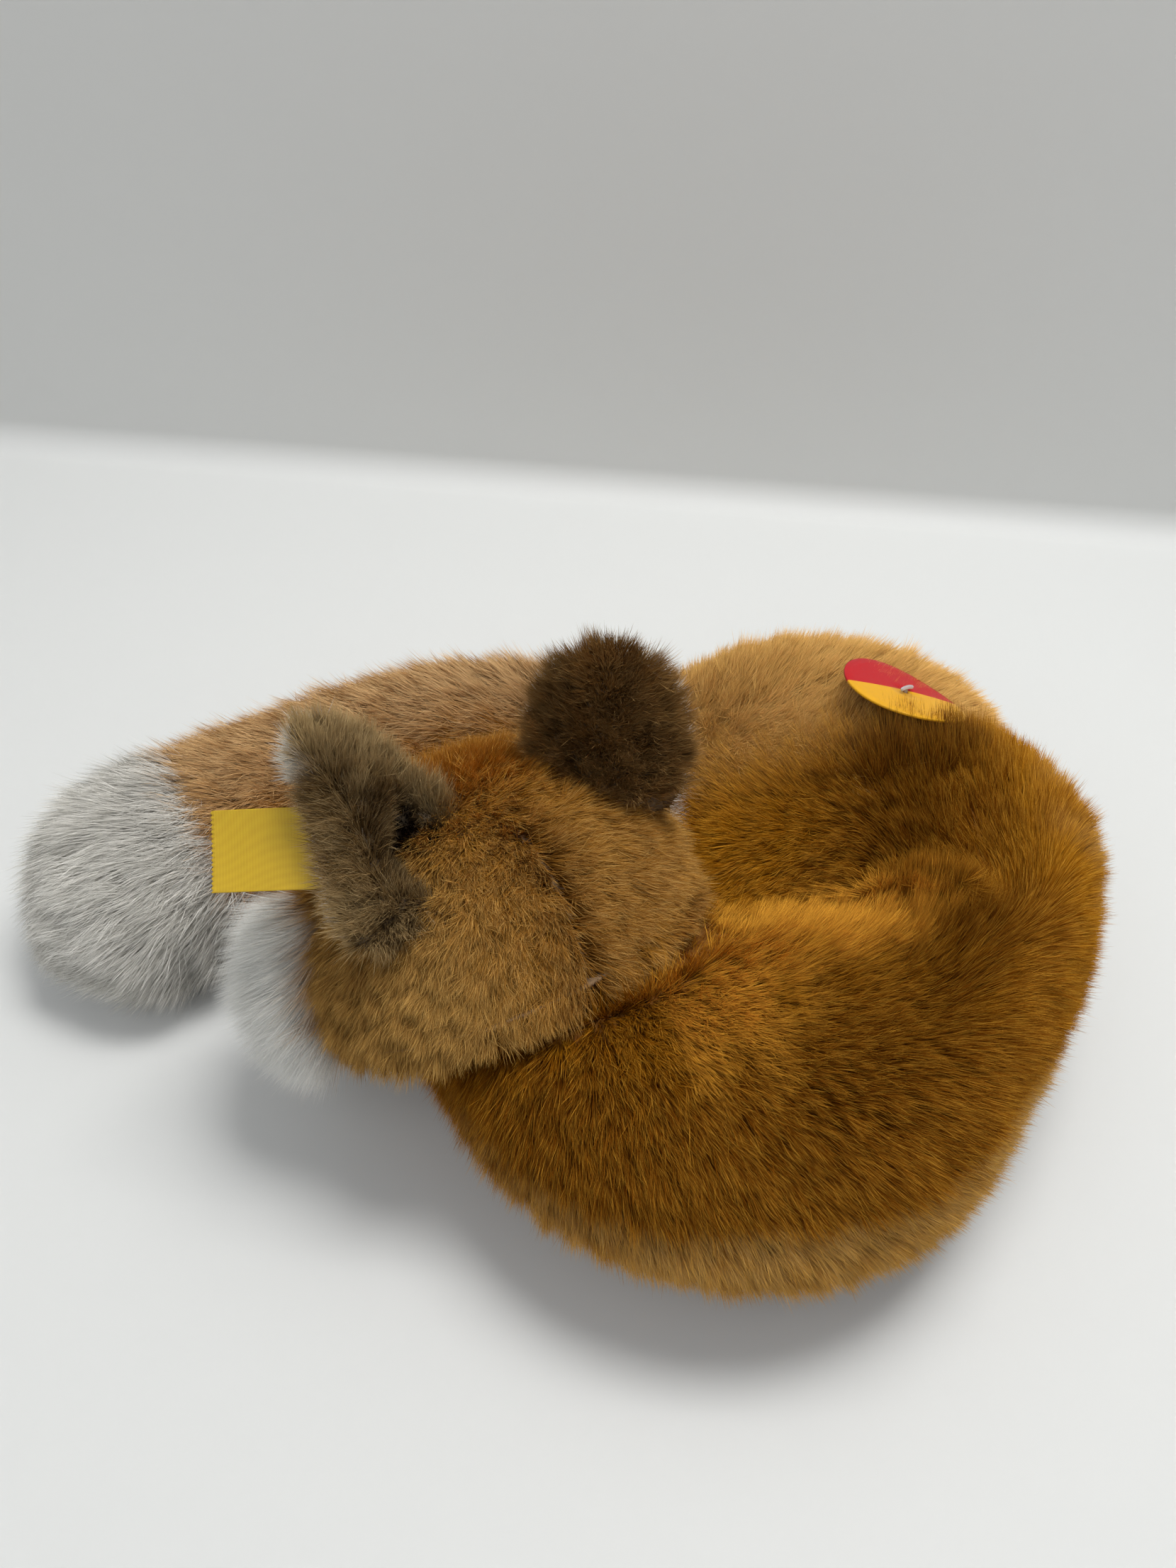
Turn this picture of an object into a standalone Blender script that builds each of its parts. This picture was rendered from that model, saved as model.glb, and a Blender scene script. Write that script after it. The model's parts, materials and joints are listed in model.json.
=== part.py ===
"""A plush fox curled up asleep, as its sewn pieces.

The near half of the body runs from the neck, under the head, to the rump on the right, and the
far half comes back to the tail. The head rests on the near half, the tail lies round the nose.
Metres, +Z up, X along the longest extent, origin at the bottom centre of the bounding box.
"""

import math

import bmesh
import bpy
from mathutils import Matrix, Vector
from mathutils.bvhtree import BVHTree

# Cloth and fits
FIT_GAP = 0.0003                # clear space between pieces that touch
STUFFING_GAP = 0.0005           # clear space between a cover and the filling
OVERRUN = 0.02                  # how far a cutter runs past what it cuts
BODY_PILE = 0.0065              # backing and fur of the body cover
HEAD_PILE = 0.0055
TAIL_PILE = 0.0075
PAW_PILE = 0.003
EAR_BACK_PILE = 0.0035
EAR_FRONT_PILE = 0.0022

# Body
BODY_LENGTH = 0.206
BODY_WIDTH = 0.196
BODY_HEIGHT = 0.077
CREASE_DEPTH = 0.03             # from the top of the back down to the fold between the halves

# Haunch
HAUNCH_LENGTH = 0.112
HAUNCH_WIDTH = 0.084
HAUNCH_HEIGHT = 0.07

# Head
HEAD_LENGTH = 0.113
HEAD_WIDTH = 0.1
HEAD_HEIGHT = 0.097
HEAD_TURN = math.radians(124.0)     # heading of the nose, seen from above
HEAD_PITCH = math.radians(25.0)     # nose down
NECK_SLOPE = math.radians(40.0)     # slope of the seam face between head and body
HEAD_LIFT = math.radians(15.0)

# Ears
EAR_WIDTH = 0.041
EAR_HEIGHT = 0.038
EAR_HOLLOW = 0.009              # how far the rims curl forward
# Middle of each ear's base in the head's half sizes: sideways from its middle, and behind it
EAR_SET_SHARES = {"left": 0.36, "right": 0.52}
EAR_SET_BACK_SHARE = 0.07
EAR_TURNS = {"left": math.radians(44.0), "right": math.radians(43.0)}     # hollow turned outward
EAR_LEANS = {"left": math.radians(14.0), "right": math.radians(4.0)}      # tip leaning outward
EAR_NODS = {"left": math.radians(36.0), "right": math.radians(9.0)}       # tip leaning forward
EAR_FLEX = math.radians(12.0)

# Tail
TAIL_LENGTH = 0.175
TAIL_WIDTH = 0.052
TAIL_HEIGHT = 0.051
TAIL_TIP_WIDTH = 0.065
TAIL_SWING = math.radians(25.0)

# Paws
PAW_LENGTH = 0.04
PAW_WIDTH = 0.021
PAW_HEIGHT = 0.016

# Face
NOSE_WIDTH = 0.015
NOSE_HEIGHT = 0.011
NOSE_DEPTH = 0.009
EYELID_SPAN = 0.019
EYELID_THREAD = 0.0016

# Ear label
LABEL_WIDTH = 0.0175
LABEL_LENGTH = 0.03
LABEL_THICKNESS = 0.0009

# Hang tag
TAG_DIAMETER = 0.034
TAG_THICKNESS = 0.0009
TAG_HOLE_DIAMETER = 0.0032
FASTENER_DIAMETER = 0.0014
FASTENER_BAR = 0.007
FASTENER_SLACK = 0.0095          # standing length of the fastener above the cover
TAG_TILT = math.radians(26.0)
TAG_TILT_HEADING = math.radians(45.0)     # the way the card slopes down, seen from above

# Colours and surface values of the pieces: base colour, roughness
PIECE_COLOURS = {
    "back_panel": ((0.3, 0.19, 0.1), 0.95),
    "belly_panel": ((0.62, 0.5, 0.36), 0.95),
    "torso_stuffing": ((0.9, 0.9, 0.88), 1.0),
    "haunch_cover": ((0.6, 0.43, 0.27), 0.95),
    "haunch_stuffing": ((0.9, 0.9, 0.88), 1.0),
    "crown_cover": ((0.55, 0.34, 0.16), 0.95),
    "cheek_left_cover": ((0.8, 0.77, 0.72), 0.95),
    "cheek_right_cover": ((0.8, 0.77, 0.72), 0.95),
    "muzzle_cover": ((0.66, 0.33, 0.13), 0.95),
    "chin_cover": ((0.8, 0.77, 0.72), 0.95),
    "head_stuffing": ((0.9, 0.9, 0.88), 1.0),
    "nose": ((0.04, 0.035, 0.035), 0.5),
    "eyelid_left": ((0.05, 0.04, 0.035), 0.7),
    "eyelid_right": ((0.05, 0.04, 0.035), 0.7),
    "ear_left_back": ((0.24, 0.2, 0.17), 0.95),
    "ear_left_front": ((0.72, 0.7, 0.67), 0.95),
    "ear_right_back": ((0.24, 0.2, 0.17), 0.95),
    "ear_right_front": ((0.72, 0.7, 0.67), 0.95),
    "ear_label": ((0.85, 0.68, 0.05), 0.6),
    "tail_cover": ((0.62, 0.3, 0.12), 0.95),
    "tail_tip_cover": ((0.78, 0.76, 0.72), 0.95),
    "tail_stuffing": ((0.9, 0.9, 0.88), 1.0),
    "tag_disc": ((0.75, 0.09, 0.05), 0.4),
    "tag_fastener": ((0.85, 0.85, 0.85), 0.3),
}
PAW_COLOUR = (0.16, 0.12, 0.1)
STUFFING_COLOUR = (0.9, 0.9, 0.88)

UP = Vector((0.0, 0.0, 1.0))
HALF = 0.5


# Places worked out from the sizes above

def body_place(x_share, y_share):
    """A plan place, in shares of the body's half length and half width."""
    return Vector((x_share * BODY_LENGTH * HALF, y_share * BODY_WIDTH * HALF, 0.0))


NECK_FOLD_SHARE = (-0.37, -0.39)
NECK_FOLD_HEIGHT_SHARE = 0.89
NECK_SIDE_SHARE = 0.72              # how far the seam face reaches to the fox's right
HEAD_SET_SHARES = (-0.2, 0.67, 0.35)    # head centre from the fold: sideways, forward, down

head_forward = Vector((math.cos(HEAD_TURN), math.sin(HEAD_TURN), 0.0))
head_side = Vector((head_forward.y, -head_forward.x, 0.0))
neck_fold = body_place(*NECK_FOLD_SHARE) + UP * BODY_HEIGHT * NECK_FOLD_HEIGHT_SHARE
head_centre = (
    neck_fold
    + head_side * HEAD_SET_SHARES[0] * HEAD_WIDTH * HALF
    + head_forward * HEAD_SET_SHARES[1] * HEAD_LENGTH * HALF
    - UP * HEAD_SET_SHARES[2] * HEAD_HEIGHT * HALF
)
nose_axis = head_forward * math.cos(HEAD_PITCH) - UP * math.sin(HEAD_PITCH)
head_up = head_forward * math.sin(HEAD_PITCH) + UP * math.cos(HEAD_PITCH)

TAIL_ROOT_SHARE = (-0.47, 0.77)
tail_root = body_place(*TAIL_ROOT_SHARE)


# Scene helpers

def clear_scene():
    for item in list(bpy.data.objects):
        bpy.data.objects.remove(item, do_unlink=True)


def new_collection(name):
    collection = bpy.data.collections.new(name)
    bpy.context.scene.collection.children.link(collection)
    return collection


def new_object(name, bm, collection):
    mesh = bpy.data.meshes.new(name)
    bm.to_mesh(mesh)
    bm.free()
    item = bpy.data.objects.new(name, mesh)
    collection.objects.link(item)
    return item


def add_material(item, colour, roughness):
    material = bpy.data.materials.new(item.name)
    material.use_nodes = True
    shader = material.node_tree.nodes["Principled BSDF"]
    shader.inputs["Base Color"].default_value = (*colour, 1.0)
    shader.inputs["Roughness"].default_value = roughness
    shader.inputs["Metallic"].default_value = 0.0
    item.data.materials.append(material)


def add_pivot(name, place):
    pivot = bpy.data.objects.new(name, None)
    pivot.location = place
    parts.objects.link(pivot)
    return pivot


def hang_on(item, pivot):
    """Parents a piece to its joint's empty, and puts the piece's origin there."""
    item.data.transform(Matrix.Translation(item.location - pivot.location))
    item.location = Vector()
    item.parent = pivot


def evaluated_bmesh(item):
    """The mesh of an object with its modifiers applied, in world space."""
    bpy.context.view_layer.update()
    graph = bpy.context.evaluated_depsgraph_get()
    bm = bmesh.new()
    bm.from_object(item, graph)
    bm.transform(item.matrix_world)
    return bm


def smooth(item):
    item.data.shade_smooth()


def as_guide(item):
    item.hide_render = True
    item.display_type = "WIRE"


# Forms: closed cages that are subdivided, and the pieces cut from them

def subdivide(item, levels):
    modifier = item.modifiers.new("Soft form", "SUBSURF")
    modifier.levels = levels
    modifier.render_levels = levels


def solidify(item, thickness, inward=True):
    modifier = item.modifiers.new("Cloth", "SOLIDIFY")
    modifier.thickness = thickness
    modifier.offset = -1.0 if inward else 1.0


def displace(item, distance):
    modifier = item.modifiers.new("Offset", "DISPLACE")
    modifier.strength = distance
    modifier.mid_level = 0.0


def subtract(item, cutter):
    modifier = item.modifiers.new("Cut by " + cutter.name, "BOOLEAN")
    modifier.operation = "DIFFERENCE"
    modifier.object = cutter


HEAD_PANELS = (
    "crown_cover",
    "cheek_left_cover",
    "cheek_right_cover",
    "muzzle_cover",
    "chin_cover",
)
PANELS = ("back_panel", "belly_panel", *HEAD_PANELS, "tail_cover", "tail_tip_cover", "paw_cover")


def loft(rings, panel_at, cap_start, cap_end):
    """Joins rings of points with faces. A cap is a pole point, and each face knows its panel."""
    bm = bmesh.new()
    group = bm.faces.layers.int.new("group")
    loops = [[bm.verts.new(point) for point in ring] for ring in rings]
    count = len(rings[0])
    for row, (lower, upper) in enumerate(zip(loops, loops[1:])):
        for column in range(count):
            following = (column + 1) % count
            face = bm.faces.new((lower[column], lower[following], upper[following], upper[column]))
            face[group] = PANELS.index(panel_at(row, column))
    for cap, loop, row in ((cap_start, loops[0], 0), (cap_end, loops[-1], len(loops) - 1)):
        if cap is None:
            continue
        pole = bm.verts.new(cap)
        for column in range(count):
            following = (column + 1) % count
            face = bm.faces.new((pole, loop[column], loop[following]))
            face[group] = PANELS.index(panel_at(row, column))
    bmesh.ops.recalc_face_normals(bm, faces=bm.faces)
    return bm


def make_form(name, bm, levels=1):
    """A cage under Subdivision Surface, kept as a guide for the pieces cut from it."""
    form = new_object(name, bm, cutters)
    subdivide(form, levels)
    as_guide(form)
    return form


def grown_copy(form, name, distance):
    """A closed solid of a form, grown by a distance, as a cutter."""
    cutter = new_object(name, evaluated_bmesh(form), cutters)
    displace(cutter, distance)
    as_guide(cutter)
    return cutter


def panel_of(form, name, pile):
    """The cloth panel over its own faces of a form, drawn back from its seams."""
    bm = evaluated_bmesh(form)
    bm.normal_update()
    layer = bm.faces.layers.int["group"]
    inward = bm.verts.layers.float_vector.new("inward")
    for vert in bm.verts:
        vert[inward] = -vert.normal * pile
    others = [face for face in bm.faces if face[layer] != PANELS.index(name)]
    bmesh.ops.delete(bm, geom=others, context="FACES")
    shifts = {}
    for vert in bm.verts:
        if not vert.is_boundary:
            continue
        inner = [edge.other_vert(vert).co for edge in vert.link_edges if not edge.is_boundary]
        along = [edge.other_vert(vert).co for edge in vert.link_edges]
        middle = sum(inner or along, Vector()) / len(inner or along)
        shifts[vert] = (middle - vert.co).normalized() * FIT_GAP
    for vert, shift in shifts.items():
        vert.co += shift
    made = bmesh.ops.extrude_face_region(bm, geom=bm.faces[:], use_keep_orig=True)["geom"]
    for item in made:
        if isinstance(item, bmesh.types.BMVert):
            item.co += item[inward]
    bmesh.ops.recalc_face_normals(bm, faces=bm.faces)
    panel = new_object(name, bm, parts)
    smooth(panel)
    return panel


def stuffing_of(form, name, pile):
    """The filling inside a form's covers."""
    filling = new_object(name, evaluated_bmesh(form), parts)
    displace(filling, -pile - STUFFING_GAP)
    smooth(filling)
    return filling


def box_cutter(name, low, high, frame):
    """A cutter box between two corners of a local frame, given as a matrix."""
    bm = bmesh.new()
    bmesh.ops.create_cube(bm, size=1.0)
    size = high - low
    middle = (high + low) * HALF
    place = frame @ Matrix.Translation(middle) @ Matrix.Diagonal((*size, 1.0))
    bmesh.ops.transform(bm, matrix=place, verts=bm.verts)
    cutter = new_object(name, bm, cutters)
    as_guide(cutter)
    return cutter


def local_frame(x_axis, y_axis, z_axis, origin):
    columns = Matrix((x_axis, y_axis, z_axis)).transposed()
    return Matrix.Translation(origin) @ columns.to_4x4()


# Body

# Each column of the body's cage: where its outer side stands, as shares of the half length and
# half width, which station of the crease it runs in to, and its height
BODY_COLUMN_SHARES = (
    (-0.98, -0.16, 0, 0.84),
    (-0.86, -0.44, 0, 0.86),
    (-0.68, -0.72, 0, 0.91),
    (-0.44, -0.91, 0, 0.97),
    (-0.16, -0.99, 1, 1.0),
    (0.12, -0.97, 2, 1.0),
    (0.37, -0.84, 3, 1.0),
    (0.53, -0.6, 4, 1.0),
    (0.7, -0.36, 5, 0.98),
    (0.82, -0.09, 5, 0.96),
    (0.91, 0.2, 5, 0.93),
    (0.85, 0.46, 5, 0.9),
    (0.7, 0.66, 4, 0.89),
    (0.48, 0.77, 3, 0.88),
    (0.24, 0.82, 2, 0.88),
    (0.0, 0.87, 1, 0.85),
    (-0.25, 0.99, 0, 0.76),
    (-0.56, 1.0, 0, 0.68),
    (-0.58, 0.5, 0, 0.66),
    (-0.7, 0.17, 0, 0.58),
    (-0.88, 0.06, 0, 0.66),
)
# Stations of the crease: place, and depth as a share of the crease's depth
CREASE_STATION_SHARES = (
    (-0.2, -0.05, 1.0),
    (-0.1, -0.06, 1.0),
    (0.02, -0.07, 0.9),
    (0.13, -0.09, 0.75),
    (0.26, -0.13, 0.45),
    (0.38, -0.19, 0.12),
)
# The section of a half from its outer side in to the crease: way in, and height
BODY_SECTION_SHARES = (
    (0.55, 0.0),
    (0.24, 0.0),
    (0.05, 0.22),
    (-0.01, 0.52),
    (0.09, 0.83),
    (0.33, 1.03),
    (0.62, 1.02),
    (0.86, 0.88),
)
SEAM_ROW = 2                    # the row of the section that the side seam follows


def body_cage():
    """Columns round the body that run from the middle of its base, out, up and in to the crease."""
    bm = bmesh.new()
    group = bm.faces.layers.int.new("group")
    crease = bm.edges.layers.float.new("crease_edge")
    tops, bases = [], []
    for x_share, y_share, depth_share in CREASE_STATION_SHARES:
        place = body_place(x_share, y_share)
        bases.append(bm.verts.new(place))
        tops.append(bm.verts.new(place + UP * (BODY_HEIGHT - CREASE_DEPTH * depth_share)))
    columns = []
    for x_share, y_share, station, height_share in BODY_COLUMN_SHARES:
        outer = body_place(x_share, y_share)
        inner = bases[station].co
        height = BODY_HEIGHT * height_share
        rows = [bases[station]]
        for way_in, rise in BODY_SECTION_SHARES:
            rows.append(bm.verts.new(outer.lerp(inner, way_in) + UP * rise * height))
        rows.append(tops[station])
        columns.append(rows)
    for rows, following in zip(columns, columns[1:] + columns[:1]):
        for row in range(len(rows) - 1):
            corners = (rows[row], following[row], following[row + 1], rows[row + 1])
            face = bm.faces.new(dict.fromkeys(corners))
            face[group] = PANELS.index("belly_panel" if row <= SEAM_ROW else "back_panel")
    for first, second in zip(tops, tops[1:]):
        bm.edges.get((first, second))[crease] = 1.0
    bmesh.ops.recalc_face_normals(bm, faces=bm.faces)
    return bm


def neck_frame():
    """The seam face between head and body: x to the fox's right, y down the slope, z out of it."""
    down_slope = head_forward * math.cos(NECK_SLOPE) - UP * math.sin(NECK_SLOPE)
    return local_frame(head_side, down_slope, head_side.cross(down_slope), neck_fold)


def make_body(form, head_cutter):
    """The panels and filling of the body, cut clear of the head through its lift."""
    back = panel_of(form, "back_panel", BODY_PILE)
    belly = panel_of(form, "belly_panel", BODY_PILE)
    filling = stuffing_of(form, "torso_stuffing", BODY_PILE)
    reach = HEAD_WIDTH + OVERRUN
    neck_cutter = box_cutter(
        "neck_cutter",
        Vector((-reach, -OVERRUN, 0.0)),
        Vector((NECK_SIDE_SHARE * HEAD_WIDTH * HALF, reach, reach)),
        neck_frame(),
    )
    root_cutter = box_cutter(
        "tail_root_cutter",
        Vector((tail_root.x - TAIL_WIDTH, tail_root.y - TAIL_WIDTH, -OVERRUN)),
        Vector((tail_root.x, tail_root.y + TAIL_WIDTH, BODY_HEIGHT + OVERRUN)),
        Matrix.Identity(4),
    )
    for piece in (back, filling):
        for cutter in (neck_cutter, head_cutter):
            subtract(piece, cutter)
    for piece in (back, belly, filling):
        subtract(piece, root_cutter)


# Haunch

HAUNCH_PLACE_SHARE = (0.2, 0.55)
HAUNCH_CENTRE_HEIGHT_SHARE = 0.57
HAUNCH_SEGMENTS = 16
HAUNCH_RINGS = 9


def make_haunch(body_cutter):
    """The outer hind thigh, a stuffed lump sewn to the far side of the body."""
    bm = bmesh.new()
    bmesh.ops.create_uvsphere(bm, u_segments=HAUNCH_SEGMENTS, v_segments=HAUNCH_RINGS, radius=HALF)
    size = Matrix.Diagonal((HAUNCH_LENGTH, HAUNCH_WIDTH, HAUNCH_HEIGHT, 1.0))
    bmesh.ops.transform(bm, matrix=size, verts=bm.verts)
    centre = body_place(*HAUNCH_PLACE_SHARE) + UP * HAUNCH_HEIGHT * HAUNCH_CENTRE_HEIGHT_SHARE
    bmesh.ops.translate(bm, vec=centre, verts=bm.verts)
    form = new_object("haunch_form", bm, cutters)
    as_guide(form)
    cover = new_object("haunch_cover", evaluated_bmesh(form), parts)
    solidify(cover, BODY_PILE)
    smooth(cover)
    filling = stuffing_of(form, "haunch_stuffing", BODY_PILE)
    for piece in (cover, filling):
        subtract(piece, body_cutter)
    return form


# Head

# Rings of the head from the nape to the nose: way along, half width, height above and below the
# axis, each a share of the head's half length, half width and half height
HEAD_RING_SHARES = (
    (-0.72, 0.55, 0.5, 0.5),
    (-0.44, 0.92, 0.86, 0.86),
    (-0.08, 1.06, 1.02, 1.0),
    (0.24, 1.1, 0.95, 0.84),
    (0.5, 1.06, 0.74, 0.54),
    (0.69, 0.62, 0.46, 0.38),
    (0.82, 0.31, 0.26, 0.3),
    (0.94, 0.22, 0.18, 0.26),
)
NAPE_POLE_SHARE = -0.9
NOSE_POLE_SHARE = 1.0
HEAD_COLUMNS = 14
CHEEK_ROWS = (3, 4)
MUZZLE_FIRST_ROW = 5
CHEEK_COLUMNS = 4               # how many columns either side of the top the crown covers
CHIN_COLUMNS = 2                # half the number of columns under the chin
HEAD_SWEEP_SHARES = (0.0, 0.5, 1.0)


def head_point(along, side, rise):
    """A place in the head's own frame, given as lengths."""
    return head_centre + nose_axis * along + head_side * side + head_up * rise


def head_panel(row, column):
    from_top = min(column, HEAD_COLUMNS - 1 - column)
    under = from_top >= HEAD_COLUMNS * HALF - CHIN_COLUMNS * HALF
    if row < CHEEK_ROWS[0]:
        return "crown_cover"
    if under:
        return "chin_cover"
    if row >= MUZZLE_FIRST_ROW:
        return "muzzle_cover"
    if from_top < CHEEK_COLUMNS:
        return "crown_cover"
    return "cheek_right_cover" if column < HEAD_COLUMNS * HALF else "cheek_left_cover"


def head_rings():
    rings = []
    for along, wide, above, below in HEAD_RING_SHARES:
        ring = []
        for column in range(HEAD_COLUMNS):
            angle = math.tau * column / HEAD_COLUMNS
            rise = math.cos(angle)
            height = above if rise > 0.0 else below
            ring.append(head_point(
                along * HEAD_LENGTH * HALF,
                math.sin(angle) * wide * HEAD_WIDTH * HALF,
                rise * height * HEAD_HEIGHT * HALF,
            ))
        rings.append(ring)
    return rings


def make_head_form():
    nape = head_point(NAPE_POLE_SHARE * HEAD_LENGTH * HALF, 0.0, 0.0)
    nose = head_point(NOSE_POLE_SHARE * HEAD_LENGTH * HALF, 0.0, 0.0)
    return make_form("head_form", loft(head_rings(), head_panel, nape, nose))


def under_neck(name, top):
    """A box that holds everything under the seam face, up to a height over it."""
    reach = HEAD_LENGTH + OVERRUN
    return box_cutter(name, Vector((-reach, -reach, -reach)), Vector((reach, reach, top)), neck_frame())


def head_sweep(form):
    """A convex cutter round the head above the seam face, from rest to the top of its lift."""
    rest = grown_copy(form, "head_rest_cutter", 2.0 * FIT_GAP)
    subtract(rest, under_neck("under_sweep_cutter", 0.0))
    still = evaluated_bmesh(rest)
    bm = bmesh.new()
    for share in HEAD_SWEEP_SHARES:
        turn = Matrix.Rotation(share * HEAD_LIFT, 4, head_side)
        lifted = Matrix.Translation(neck_fold) @ turn @ Matrix.Translation(-neck_fold)
        for vert in still.verts:
            bm.verts.new(lifted @ vert.co)
    still.free()
    hull = bmesh.ops.convex_hull(bm, input=bm.verts[:])
    inside = {item for item in hull["geom_interior"] if isinstance(item, bmesh.types.BMVert)}
    bmesh.ops.delete(bm, geom=list(inside), context="VERTS")
    cutter = new_object("head_sweep_cutter", bm, cutters)
    as_guide(cutter)
    return cutter


def make_head(form, under_head):
    pieces = [panel_of(form, name, HEAD_PILE) for name in HEAD_PANELS]
    pieces.append(stuffing_of(form, "head_stuffing", HEAD_PILE))
    for piece in pieces:
        subtract(piece, under_head)
        hang_on(piece, head_pivot)


# Nose and closed eyes

NOSE_LIFT_SHARE = 0.12
EYELID_PLACE_SHARES = (0.66, 0.52, 0.42)     # along, sideways and up in the head's half sizes
EYELID_SAG_SHARE = 0.28
EYELID_POINTS = 7
EYELID_SIDES = 2


def surface_hit(tree, start, direction):
    """The point of a surface that a line reaches, and the surface's direction there."""
    place, normal, _, _ = tree.ray_cast(start, direction)
    return place, normal


def make_nose(head_cutter):
    bm = bmesh.new()
    bmesh.ops.create_cube(bm, size=1.0)
    start = head_point(0.0, 0.0, NOSE_LIFT_SHARE * NOSE_HEIGHT)
    centre, _ = surface_hit(head_tree, start, nose_axis)
    frame = local_frame(head_side, nose_axis, head_up, centre)
    size = Matrix.Diagonal((NOSE_WIDTH, NOSE_DEPTH, NOSE_HEIGHT, 1.0))
    bmesh.ops.transform(bm, matrix=frame @ size, verts=bm.verts)
    nose = new_object("nose", bm, parts)
    subdivide(nose, 2)
    subtract(nose, head_cutter)
    smooth(nose)
    hang_on(nose, head_pivot)


def make_eyelid(name, side, tree):
    """The stitched arc of a closed eye, a thick thread that lies on the cover."""
    along, sideways, up_share = EYELID_PLACE_SHARES
    points = []
    for step in range(EYELID_POINTS):
        way = 2.0 * step / (EYELID_POINTS - 1) - 1.0
        sag = EYELID_SAG_SHARE * EYELID_SPAN * (1.0 - way * way)
        aim = head_point(
            along * HEAD_LENGTH * HALF - sag * math.sin(HEAD_PITCH),
            side * (sideways * HEAD_WIDTH * HALF + way * EYELID_SPAN * HALF),
            up_share * HEAD_HEIGHT * HALF - sag,
        )
        outward = (aim - head_centre).normalized()
        place, normal = surface_hit(tree, head_centre, outward)
        points.append(place + normal * (EYELID_THREAD * HALF + FIT_GAP))
    curve = bpy.data.curves.new(name, "CURVE")
    curve.dimensions = "3D"
    curve.bevel_depth = EYELID_THREAD * HALF
    curve.bevel_resolution = EYELID_SIDES
    curve.use_fill_caps = True
    spline = curve.splines.new("POLY")
    spline.points.add(len(points) - 1)
    for knot, place in zip(spline.points, points):
        knot.co = (*(place - head_pivot.location), 1.0)
    lid = bpy.data.objects.new(name, curve)
    parts.objects.link(lid)
    lid.parent = head_pivot


# Ears

# Half width of the ear at steps from its base to its tip, as shares of the half width
EAR_OUTLINE_SHARES = (0.92, 1.0, 0.94, 0.79, 0.58, 0.35, 0.1)
EAR_COLUMNS = 6
EAR_FRONT_WIDTH_SHARE = 0.84
EAR_SINK_SHARE = 0.2            # the part of the ear's height that the head's curve cuts away


def ear_sheet(frame, width_share, forward):
    """An open leaf that narrows to the tip, with its rims curled forward."""
    bm = bmesh.new()
    rows = []
    last = len(EAR_OUTLINE_SHARES) - 1
    for row, share in enumerate(EAR_OUTLINE_SHARES):
        points = []
        for column in range(EAR_COLUMNS + 1):
            across = 2.0 * column / EAR_COLUMNS - 1.0
            side = across * share * width_share * EAR_WIDTH * HALF
            rise = (row / last - EAR_SINK_SHARE) * EAR_HEIGHT / (1.0 - EAR_SINK_SHARE)
            rise -= (1.0 - width_share) * EAR_HEIGHT * HALF * row / last
            curl = EAR_HOLLOW * across * across * share
            points.append(bm.verts.new(frame @ Vector((side, curl + forward, rise))))
        rows.append(points)
    for lower, upper in zip(rows, rows[1:]):
        for column in range(EAR_COLUMNS):
            bm.faces.new((lower[column], lower[column + 1], upper[column + 1], upper[column]))
    return bm


def ear_frame(side_name, side, head_tree):
    """The ear's own frame on the crown: x across the base, y out of the hollow, z to the tip."""
    sideways = head_side * side * EAR_SET_SHARES[side_name] * HEAD_WIDTH * HALF
    above = head_centre + sideways - head_forward * EAR_SET_BACK_SHARE * HEAD_LENGTH * HALF
    base, _, _, _ = head_tree.ray_cast(above + UP * HEAD_HEIGHT, -UP)
    turn = Matrix.Rotation(-side * EAR_TURNS[side_name], 3, "Z")
    lean = Matrix.Rotation(side * EAR_LEANS[side_name], 3, head_forward)
    nod = Matrix.Rotation(-EAR_NODS[side_name], 3, turn @ head_side)
    tip = lean @ nod @ UP
    across = lean @ turn @ head_side
    return local_frame(across, tip.cross(across), tip, base)


def make_ear(name, pivot, frame, head_form):
    """Two layers of cloth: the fur of the back, and the lining of the hollow front."""
    back = new_object(name + "_back", ear_sheet(frame, 1.0, 0.0), parts)
    lining_offset = EAR_BACK_PILE + FIT_GAP
    front = new_object(name + "_front", ear_sheet(frame, EAR_FRONT_WIDTH_SHARE, lining_offset), parts)
    hinge = frame.to_3x3().col[0]
    cuts = []
    for turn in (-EAR_FLEX, EAR_FLEX):
        cutter = grown_copy(head_form, name + "_seat_cutter", FIT_GAP)
        spin = Matrix.Translation(pivot.location) @ Matrix.Rotation(turn, 4, hinge)
        cutter.data.transform(spin @ Matrix.Translation(-pivot.location))
        cuts.append(cutter)
    for piece, pile in ((back, EAR_BACK_PILE), (front, EAR_FRONT_PILE)):
        solidify(piece, pile, inward=False)
        for cutter in cuts:
            subtract(piece, cutter)
        smooth(piece)
        hang_on(piece, pivot)
    return back, front


# Tail

# Rings of the tail from the root round to the tip: place from the root in shares of the length,
# then the half width and the height. The tip's widths are shares of its own width.
TAIL_RING_SHARES = (
    (0.0, 0.0, 0.92, 0.97),
    (-0.12, 0.0, 1.0, 1.02),
    (-0.25, -0.02, 1.02, 1.04),
    (-0.38, -0.08, 1.04, 1.04),
    (-0.5, -0.16, 1.1, 1.04),
    (-0.6, -0.23, 1.24, 1.04),
    (-0.69, -0.29, 1.0, 1.02),
    (-0.75, -0.33, 0.98, 0.94),
    (-0.8, -0.38, 0.76, 0.78),
)
TAIL_END_SHARE = (-0.845, -0.425)
TAIL_END_HEIGHT_SHARE = 0.36
TAIL_SEAM_ROW = 5
TIP_FIRST_RING = 6
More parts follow.
